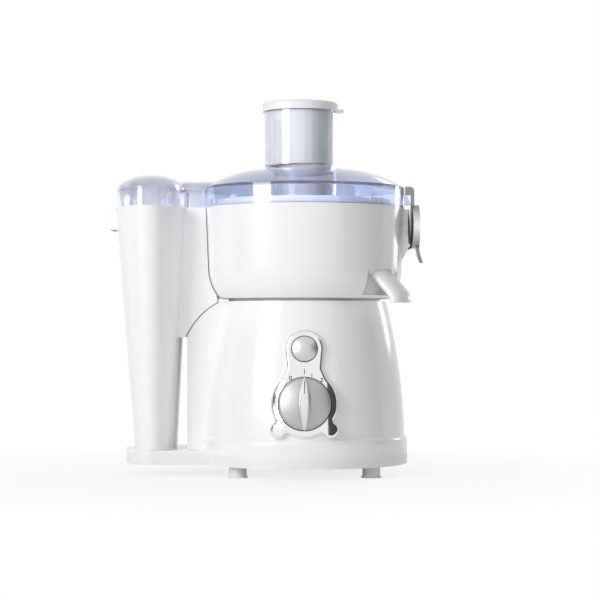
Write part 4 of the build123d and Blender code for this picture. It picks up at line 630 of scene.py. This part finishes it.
def grid_mesh(name: str, points: np.ndarray, loop_rows: bool, finish: Finish) -> bpy.types.Object:
    """Closed mesh from a grid of points: each row is one section, carried from row to row.

    The sides join section point j of row i to point j + 1 of row i + 1, and the last point of a
    section to its first. The rows are joined end to start where loop_rows is true, and otherwise
    capped at both ends.

    Args:
        name: Name of the piece.
        points: Array of shape (rows, section points, 3), in metres in the row frame.
        loop_rows: Whether the last row joins the first.
        finish: Finish of the piece.

    Returns:
        The new piece, at the origin.
    """
    rows, ring = points.shape[:2]
    i, j = np.meshgrid(np.arange(rows if loop_rows else rows - 1), np.arange(ring), indexing="ij")
    ahead, beside = (i + 1) % rows, (j + 1) % ring
    quads = [i * ring + j, i * ring + beside, ahead * ring + beside, ahead * ring + j]
    faces = np.stack(quads, -1).reshape(-1, 4).tolist()
    if not loop_rows:
        cap = np.arange(ring)
        faces += [cap[::-1].tolist(), (cap + (rows - 1) * ring).tolist()]
    LOG.info("piece %s: %s", name, finish.name)
    return new_object(name, points, faces, finish.material())


def dress(finishes: dict[str, Finish]) -> None:
    """Give CAD nodes their finishes.

    Args:
        finishes: Finish by node name.
    """
    for node, finish in finishes.items():
        slots = frame["nodes"][node].data.materials
        slots.clear()
        slots.append(finish.material())
        LOG.info("node %s: %s", node, finish.name)


@dataclass
class Panel:
    """Plane of the control panel, read from the knob's joint: x to the right, y up along it.

    Attributes:
        joint: Joint that the knob turns on.
        centre: Place of the joint, in metres.
        across: Direction to the right.
        up: Direction up along the panel.
        out: Direction out of the panel.
    """

    joint: str = "knob_turn"
    centre: np.ndarray = field(init=False)
    across: np.ndarray = field(init=False)
    up: np.ndarray = field(init=False)
    out: np.ndarray = field(init=False)

    def __post_init__(self) -> None:
        """Read the plane from the joint."""
        joint = joint_of(self.joint)
        self.centre = np.array(joint["pos_m"], float)
        self.out = np.array(joint["axis"], float)
        self.across = np.array((1.0, 0.0, 0.0))
        self.up = np.cross(self.out, self.across)

    def place(self, flat: np.ndarray, height: np.ndarray | float) -> np.ndarray:
        """Put points of the panel's plane into the row frame.

        Args:
            flat: Array (..., 2) of x and y from the knob's centre, in metres.
            height: Height in front of the panel's face, in metres.

        Returns:
            Array (..., 3) of places.
        """
        rise = np.broadcast_to(np.asarray(height, float), flat.shape[:-1])[..., None]
        level = self.centre + flat[..., :1] * self.across + flat[..., 1:] * self.up
        return level + rise * self.out


@dataclass(frozen=True)
class DialFigures:
    """Shapes of the printed figures, in half heights of a figure.

    Attributes:
        height: Height of a figure, in metres.
        oval: Half width of the 0.
        bow: Radius of the bow of the 2.
        bow_turn: Angles at which the bow starts and ends, in radians.
        heel: Place where the slant of the 2 ends.
        foot: Places between which the foot of the 2 runs.
        oval_points: Points round the 0.
        line_points: Points along the 1 and along the slant of the 2.
        bow_points: Points along the bow.
        foot_points: Points along the foot.
    """

    height: float = 3.4 * MM
    oval: float = 0.62
    bow: float = 0.55
    bow_turn: Pair = (np.pi, -0.25 * np.pi)
    heel: Pair = (-0.6, -0.98)
    foot: tuple[Pair, Pair] = ((-0.45, -1.0), (0.65, -1.0))
    oval_points: int = 28
    line_points: int = 6
    bow_points: int = 14
    foot_points: int = 4

    def path(self, figure: Figure) -> tuple[np.ndarray, bool]:
        """Path of one figure round its centre.

        0 is an ellipse, 1 an upright, and 2 five eighths of a circle that touches the figure's
        top, and runs on into a slant and a foot.

        Args:
            figure: The figure.

        Returns:
            Array (n, 2) of points, in metres, and whether the path is a loop.
        """
        half = self.height / 2
        if figure is Figure.ZERO:
            turn = whole_turn(self.oval_points)
            return np.stack([self.oval * half * np.cos(turn), half * np.sin(turn)], -1), True
        if figure is Figure.ONE:
            return upright((-half, half), self.line_points), False
        turn = np.linspace(*self.bow_turn, self.bow_points)
        rise = 1.0 - self.bow
        bow = np.stack([self.bow * np.cos(turn), rise + self.bow * np.sin(turn)], -1)
        slant = np.linspace(bow[-1], self.heel, self.line_points)[1:]
        foot = np.linspace(*self.foot, self.foot_points)
        return np.concatenate([bow, slant, foot]) * half, False


@dataclass
class Controls:
    """Panel, knob and button, with the printed marks round the knob and the line on its grip.

    Lengths are in metres, and places are measured from the knob's centre along the panel.

    Attributes:
        half_stroke: Half of a printed stroke's width.
        ink: Height of a stroke above the face that carries it.
        sunk: Depth to which a stroke starts below that face.
        figures: Shapes of the figures.
        places: Figures round the knob, with their places to the right and up.
        mark: Lower and upper end of the mark above the knob.
        mark_points: Points along the mark.
        pointer: Lower and upper end of the line on the grip.
        pointer_points: Points along that line.
        grip_front: Height of the grip's front over the panel.
        grip_tone: Tone of the grip.
        grip_half: Distances to the side between which the grip's tone gives way.
        grip_spread: Share of each axis in that distance.
        shadow_ringed: Nodes with a dark ring of painted shadow round them.
        shadow_ring_gap: Gap between a node and its ring.
        shadow_ring_radius: Radius of a ring's round section.
        shadow_ring_points: Points round a ring, and round its section.
        panel: Plane of the panel.
    """

    half_stroke: float = 0.38 * MM
    ink: float = 0.12 * MM
    sunk: float = 0.05 * MM
    figures: DialFigures = DialFigures()
    places: tuple[tuple[Figure, Pair], ...] = (
        (Figure.ZERO, (-14.0 * MM, 26.2 * MM)),
        (Figure.ONE, (7.4 * MM, 28.7 * MM)),
        (Figure.TWO, (17.2 * MM, 24.0 * MM)),
    )
    mark: Pair = (30.0 * MM, 35.0 * MM)
    mark_points: int = 8
    pointer: Pair = (9.0 * MM, 22.0 * MM)
    pointer_points: int = 12
    grip_front: float = 15.0 * MM
    grip_tone: Rgb = (0.76, 0.765, 0.775)
    grip_half: Pair = (3.0 * MM, 3.6 * MM)
    grip_spread: Place = (1.0, 0.0, 0.12)
    shadow_ringed: tuple[str, ...] = ("control_knob", "pulse_button")
    shadow_ring_gap: float = 0.05 * MM
    shadow_ring_radius: float = 0.45 * MM
    shadow_ring_points: tuple[int, int] = (96, 10)
    panel: Panel = field(default_factory=Panel)

    def stroke_piece(self, name: str, path: np.ndarray, base: float,
                     closed: bool = False) -> bpy.types.Object:
        """Printed stroke: a flat four-cornered section carried along a path in the panel's plane.

        At each point of the path the section reaches half a stroke's width to both sides, square
        to the path's direction, and stands from just below the base height to the ink's height
        above it.

        Args:
            name: Name of the piece.
            path: Array (n, 2) of points, in metres from the knob's centre.
            base: Height of the face that carries the stroke.
            closed: Whether the path is a loop.

        Returns:
            The stroke's object.
        """
        if closed:
            along = np.roll(path, -1, 0) - np.roll(path, 1, 0)
        else:
            along = np.gradient(path, axis=0)
        along = along / np.linalg.norm(along, axis=1, keepdims=True)
        side = np.stack([-along[:, 1], along[:, 0]], -1) * self.half_stroke
        low, high = base - self.sunk, base + self.ink
        corners = [self.panel.place(path + sign * side, height)
                   for sign, height in ((-1, low), (1, low), (1, high), (-1, high))]
        piece = grid_mesh(name, np.stack(corners, 1), closed, MARK_INK)
        return piece

    def shadow_ring(self, name: str, node: str) -> bpy.types.Object:
        """Dark ring on the panel round a knob or button: painted shadow for the shaded gap round
        it.

        A round section is carried round a circle in the panel's plane: the circle's radius is
        half the node's width plus the ring's gap and the section's radius, and the section turns
        in the plane of the circle's radius and the panel's normal.

        Args:
            name: Name of the piece.
            node: Node that the ring goes round.

        Returns:
            The ring's object.
        """
        low, high = (np.array(corner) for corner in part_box(node))
        middle = ((low + high) / 2 - self.panel.centre) @ self.panel.up
        radius = (high[0] - low[0]) / 2 + self.shadow_ring_gap + self.shadow_ring_radius
        angles = [whole_turn(points) for points in self.shadow_ring_points]
        turn, around = np.meshgrid(*angles, indexing="ij")
        out = radius + self.shadow_ring_radius * np.cos(around)
        flat = np.stack([out * np.cos(turn), middle + out * np.sin(turn)], -1)
        points = self.panel.place(flat, self.shadow_ring_radius * np.sin(around))
        # painted shadow: a dark ring of black rubber stands in for the shaded gap round the node
        piece = grid_mesh(name, points, True, BLACK_RUBBER)
        return piece

    def build(self) -> None:
        """Dress the controls, print the marks and lay the dark rings of painted shadow."""
        middle = tuple(self.panel.centre)
        grip = Zone(self.grip_tone, middle, *self.grip_half, self.grip_spread)
        dress({
            "control_panel": replace(BRIGHT_PLATE, centre=middle),
            "control_knob": replace(SILVER_FACE, centre=middle, zones=(grip,)),
            "pulse_button": SILVER_PAINT, "knob_spindle": TURNED_STEEL,
            "rotary_switch": BLACK_MOULDING, "pulse_switch": BLACK_MOULDING,
        })
        for figure, place in self.places:
            path, loop = self.figures.path(figure)
            name = f"dial_figure_{figure.value}"
            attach(self.stroke_piece(name, path + np.array(place), 0.0, loop), "base")
        mark = upright(self.mark, self.mark_points)
        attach(self.stroke_piece("dial_mark", mark, 0.0), "base")
        line = upright(self.pointer, self.pointer_points)
        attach(self.stroke_piece("knob_pointer", line, self.grip_front), "knob")
        # dark rings of painted shadow round the knob and the button
        for node in self.shadow_ringed:
            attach(self.shadow_ring(f"{node}_seal", node), "base")
        LOG.info("controls done")


@dataclass
class Base:
    """Housing, base plate, feet and the fasteners under it.

    Attributes:
        shell: Finish of the housing.
        underside: Finish of the base plate.
        feet: Nodes of the feet.
    """

    shell: Finish = WHITE_GLOSS
    underside: Finish = WHITE_SATIN
    feet: tuple[str, ...] = ("foot_front_left", "foot_front_right",
                             "foot_rear_left", "foot_rear_right")

    def build(self) -> None:
        """Dress the base."""
        dress({
            "base_housing": self.shell, "base_plate": self.underside,
            "base_screws": TURNED_STEEL, "cord_gland": BLACK_MOULDING,
            **{foot: FOOT_RUBBER for foot in self.feet},
        })
        LOG.info("base done")


@dataclass
class Motor:
    """Motor with its brackets, windings, brushes and rotor."""

    def build(self) -> None:
        """Dress the motor."""
        dress({
            "motor_mounts": BLACK_RUBBER, "mount_screws": TURNED_STEEL,
            "upper_motor_bracket": CAST_ALLOY, "lower_motor_bracket": CAST_ALLOY,
            "upper_bearing": TURNED_STEEL, "lower_bearing": TURNED_STEEL,
            "stator_core": CORE_SHEETS, "field_coils": COPPER_WIRE,
            "motor_bolts": TURNED_STEEL, "brush_holders": BLACK_MOULDING,
            "carbon_brushes": PRESSED_CARBON, "shaft_seal": BLACK_RUBBER,
            "motor_shaft": TURNED_STEEL, "armature_core": CORE_SHEETS,
            "armature_windings": COPPER_WIRE, "commutator": COPPER_BARS,
            "cooling_fan": BLACK_MOULDING, "drive_coupling": BLACK_MOULDING,
        })
        LOG.info("motor done")


@dataclass
class Vessels:
    """Bowl with its spout and latch, and the pulp bin.

    Lengths are in metres.

    Attributes:
        shell: Finish of the bowl, the spout and the bin.
        latch_joint: Joint at the latch's pin.
        gap_shade_tone: Tone of the painted shade in the shaded gap beside the latch.
        painted_highlight_tone: Tone of the painted highlight, a bright band across the latch's
            disc.
        disc_rise: Height of the disc's middle above the pin.
        ball_reach: Distance right of the pin to the middle of the ball of the lug's painted shade.
        ball_radius: Radius of that ball.
        lens_half: Half width of the lens of painted shade on the disc's inner side.
        lens_spread: Share of each axis in the lens.
        edge: Width over which the painted shade's edge runs out.
        painted_highlight_half: Heights from the disc's middle where the painted highlight gives
            way.
        painted_highlight_spread: Share of each axis in that height.
    """

    shell: Finish = WHITE_GLOSS
    latch_joint: str = "latch_swing"
    gap_shade_tone: Rgb = (0.05, 0.05, 0.055)
    painted_highlight_tone: Rgb = (0.84, 0.845, 0.855)
    disc_rise: float = 20.0 * MM
    ball_reach: float = 199.2 * MM
    ball_radius: float = 199.7 * MM
    lens_half: float = 5.0 * MM
    lens_spread: Place = (1.0, 0.0, 0.15)
    edge: float = 0.3 * MM
    painted_highlight_half: Pair = (2.0 * MM, 20.0 * MM)
    painted_highlight_spread: Place = (0.0, 0.0, 1.0)

    def gap_shade(self, centre: Place, half: float, spread: Place = ALL_AXES) -> Zone:
        """Zone of painted shade for the shaded gap beside the latch, with a narrow edge."""
        return Zone(self.gap_shade_tone, centre, half, half + self.edge, spread)

    def build(self) -> None:
        """Dress the bowl, the bin and the latch.

        The bowl's lug has painted shade for the shaded gap beside the latch, where a large ball,
        centred far to the right, cuts into it. The latch's disc has painted shade for that gap in
        a lens on its inner side, and a painted highlight: a bright band across its middle height.
        """
        x, y, z = joint_of(self.latch_joint)["pos_m"]
        disc = (x, y, z + self.disc_rise)
        # painted shade: the dark zone on the bowl's lug stands in for the shaded gap beside the
        # latch
        lug = self.gap_shade((x + self.ball_reach, *disc[1:]), self.ball_radius)
        # painted shade in a lens on the disc's inner side, which faces the same shaded gap
        inside = self.gap_shade(disc, self.lens_half, self.lens_spread)
        # painted highlight: the bright band across the disc's middle stands in for its reflection
        painted_band = Zone(self.painted_highlight_tone, disc, *self.painted_highlight_half, self.painted_highlight_spread)
        dress({
            # the bowl's material carries the painted shade of the gap beside the latch
            "juice_bowl": replace(self.shell, name="white_gap_shaded", zones=(lug,)),
            "juice_spout": self.shell, "pulp_bin": self.shell, "latch_pin": TURNED_STEEL,
            # the latch's material carries the painted highlight and the painted shade on its inner
            # side
            "latch_arm": replace(SILVER_LATCH, zones=(painted_band, inside)),
        })
        LOG.info("vessels done")


@dataclass
class Lid:
    """Clear lid with its chute, and the pusher that slides in the chute.

    Lengths are in metres.

    Attributes:
        axis_joint: Joint on the chute's axis.
        chute_tone: Tone of the lid at the chute.
        chute_spread: Share of each axis in the distance from the chute.
        dome_tone: Tone of the lid at the dome over the bin.
        dome_spread: Share of each axis in the distance from the dome's middle.
        dome_half: Distance from the lid's left edge to the dome's middle.
        pale_half: Distances between which a pale tone gives way to the tint.
    """

    axis_joint: str = "basket_spin"
    chute_tone: Rgb = (0.98, 0.98, 0.985)
    chute_spread: Place = (1.0, 1.0, 0.0)
    dome_tone: Rgb = (0.80, 0.805, 0.85)
    dome_spread: Place = (1.0, 0.5, 0.0)
    dome_half: float = 38.0 * MM
    pale_half: Pair = (45.0 * MM, 60.0 * MM)

    def build(self) -> None:
        """Dress the lid, paler at the chute and at the dome over the bin, and the pusher."""
        x, y = joint_of(self.axis_joint)["pos_m"][:2]
        dome_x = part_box("lid")[0][0] + self.dome_half
        chute = Zone(self.chute_tone, (x, y, 0.0), *self.pale_half, self.chute_spread)
        dome = Zone(self.dome_tone, (dome_x, y, 0.0), *self.pale_half, self.dome_spread)
        dress({
            "lid": replace(CLEAR_BLUE, zones=(chute, dome)),
            "pusher_body": FROSTED_GREY, "pusher_cap": WHITE_GLOSS,
        })
        frame["nodes"]["lid"].visible_shadow = False  # clear plastic lets the lamps' light through
        LOG.info("lid done")


@dataclass
class Basket:
    """Filter basket: hub, grater disc, sieve and rim ring."""

    def build(self) -> None:
        """Dress the basket."""
        dress({
            "basket_hub": WHITE_SATIN, "grater_disc": PUNCHED_STEEL,
            "filter_sieve": ETCHED_STEEL, "basket_rim": WHITE_SATIN,
        })
        LOG.info("basket done")


def aimed(place: Place, aim: Vector) -> Matrix:
    """Matrix of a lamp or camera that stands at a place and looks along a direction."""
    return Matrix.Translation(place) @ aim.to_track_quat("-Z", "Y").to_matrix().to_4x4()


@dataclass(frozen=True)
class SoftBox:
    """Rectangular soft box.

    Attributes:
        name: Name of the lamp.
        place: Place of its centre, in metres.
        size: Width and height, in metres.
        power: Power, in watts.
        mirrored: Whether bright metal and gloss mirror it.
    """

    name: str
    place: Place
    size: Pair
    power: float
    mirrored: bool = True

    def build(self, target: Vector) -> None:
        """Set up the lamp.

        Args:
            target: Place that it faces, in metres.
        """
        data = bpy.data.lights.new(self.name, "AREA")
        data.shape = "RECTANGLE"
        data.size, data.size_y = self.size
        data.energy = self.power
        lamp = bpy.data.objects.new(self.name, data)
        lamp.matrix_world = aimed(self.place, target - Vector(self.place))
        lamp.visible_glossy = self.mirrored
        bpy.context.scene.collection.objects.link(lamp)


@dataclass(frozen=True)
class DarkCard:
    """Dark card that only bright metal and gloss mirror.

    Attributes:
        name: Name of the card.
        place: Place of its centre, in metres.
        size: Width and height, in metres.
        through: Whether it also darkens what is seen through clear plastic.
    """

    name: str
    place: Place
    size: Pair
    through: bool = False

    def build(self, target: Vector) -> None:
        """Set up the card.

        Its corners are its centre plus and minus half its width and height along the card's own
        directions.

        Args:
            target: Place that it faces, in metres.
        """
        aim = target - Vector(self.place)
        turn = np.array(aim.to_track_quat("Z", "Y").to_matrix())
        width, height = self.size
        corners = np.array(self.place) + (CORNERS * (width / 2, height / 2, 0.0)) @ turn.T
        card = new_object(self.name, corners, ONE_FACE, BLACK_MOULDING.material())
        card.visible_camera = card.visible_diffuse = card.visible_shadow = False
        card.visible_transmission = self.through


@dataclass
class Studio:
    """White floor and sky, soft boxes, dark cards, and the camera at the photographed view.

    Attributes:
        distance: Distance of the camera from the spindle, in metres.
        height: Height of the camera, in metres.
        pitch: Upward tilt of the view, in degrees.
        yaw: Turn of the view to the left of the spindle, in degrees.
        lens: Focal length, in millimetres.
        sensor: Width of the sensor, in millimetres.
        sight: Distance up to which the camera sees, in metres.
        sky_light: Strength of the light that the surroundings throw on the juicer.
        floor_half: Half of the floor's side, in metres.
        floor_tone: Lightness of the floor's paint.
        floor_glow: Share of plain white in what is seen of the floor near the juicer.
        floor_fade: Distances between which the floor runs out into plain white, in metres.
        lamp_aim: Height on the spindle that the lamps face, in metres.
        card_aim: Height on the spindle that the cards face, in metres.
        lamps: The soft boxes.
        cards: The dark cards.
        spindle: Place of the juicer's spindle in plan, in metres.
    """

    distance: float = 1.893
    height: float = 0.1537
    pitch: float = 0.852
    yaw: float = 0.143
    lens: float = 107.7
    sensor: float = 36.0
    sight: float = 50.0
    sky_light: float = 0.25
    floor_half: float = 6.0
    floor_tone: float = 0.92
    floor_glow: float = 0.80
    floor_fade: Pair = (0.10, 0.45)
    lamp_aim: float = 0.2
    card_aim: float = 0.1
    lamps: tuple[SoftBox, ...] = (
        SoftBox("key_box", (-1.63, -1.47, 0.9), size=(0.9, 1.3), power=26.0),
        SoftBox("front_box", (-0.2, -2.2, 0.9), size=(1.7, 1.2), power=10.0, mirrored=False),
        SoftBox("low_box", (0.5, -2.0, 0.12), size=(0.8, 0.2), power=2.0, mirrored=False),
        SoftBox("rim_box", (0.85, 1.6, 0.75), size=(0.7, 0.9), power=16.0, mirrored=False),
        SoftBox("edge_box", (0.67, 0.50, 0.30), size=(0.12, 0.16), power=0.45),
    )
    cards: tuple[DarkCard, ...] = (
        DarkCard("left_flag", (-1.1, -0.25, 0.15), size=(0.7, 0.7)),
        DarkCard("right_flag", (0.95, -0.35, 0.25), size=(1.1, 1.0), through=True),
        DarkCard("side_flag", (-0.94, -0.78, 0.28), size=(0.18, 0.12)),
    )
    spindle: Vector = field(init=False)

    def __post_init__(self) -> None:
        """Read the spindle's place from the rotor's joint."""
        self.spindle = Vector(joint_of("rotor_spin")["pos_m"][:2])

    def camera(self) -> None:
        """Set up the camera."""
        place = (self.spindle.x, self.spindle.y - self.distance, self.height)
        heading, rise = math.radians(self.yaw), math.radians(self.pitch)
        level = math.cos(rise)
        view = Vector((-math.sin(heading) * level, math.cos(heading) * level, math.sin(rise)))
        data = bpy.data.cameras.new("camera")
        data.lens = self.lens
        data.sensor_width = self.sensor
        data.clip_end = self.sight
        rig = bpy.data.objects.new("camera", data)
        rig.matrix_world = aimed(place, view)
        bpy.context.scene.collection.objects.link(rig)
        bpy.context.scene.camera = rig

    def sky(self) -> None:
        """White surroundings: plain white where seen, and a weaker light on the juicer."""
        world = bpy.data.worlds.new("studio")
        bpy.context.scene.world = world
        nodes = Nodes(world)
        dim = nodes.add("Background", Color=WHITE, Strength=self.sky_light)
        plain = nodes.add("Background", Color=WHITE)
        nodes.mix_out("OutputWorld", nodes.seen(), dim, plain)

    def floor(self) -> None:
        """White floor that keeps a soft shadow and runs out into the white surroundings.

        Its corners lie half a side from the middle along X and along Y.
        """
        material = bpy.data.materials.new("floor_white")
        nodes = Nodes(material)
        paint = nodes.add("BsdfDiffuse", Color=(*[self.floor_tone] * 3, 1.0))
        reach = nodes.length(nodes.coords())
        glow = nodes.ranged(reach, self.floor_fade, (self.floor_glow, 1.0))
        share = nodes.maths("MULTIPLY", nodes.seen(), glow)
        nodes.mix_out("OutputMaterial", share, paint, nodes.add("Emission", Color=WHITE))
        new_object("floor", CORNERS * self.floor_half, ONE_FACE, material)

    def build(self) -> None:
        """Build the studio."""
        self.camera()
        self.sky()
        self.floor()
        for lamp in self.lamps:
            lamp.build(Vector((*self.spindle, self.lamp_aim)))
        for card in self.cards:
            card.build(Vector((*self.spindle, self.card_aim)))
        bpy.context.scene.view_settings.view_transform = "Standard"
        LOG.info("studio done")


def main() -> None:
    """Dress the juicer and set it in the studio."""
    logging.basicConfig(level=logging.INFO, format="%(message)s")
    for assembly in (Base(), Motor(), Controls(), Vessels(), Lid(), Basket()):
        assembly.build()
    Studio().build()


if __name__ == "__main__":
    main()
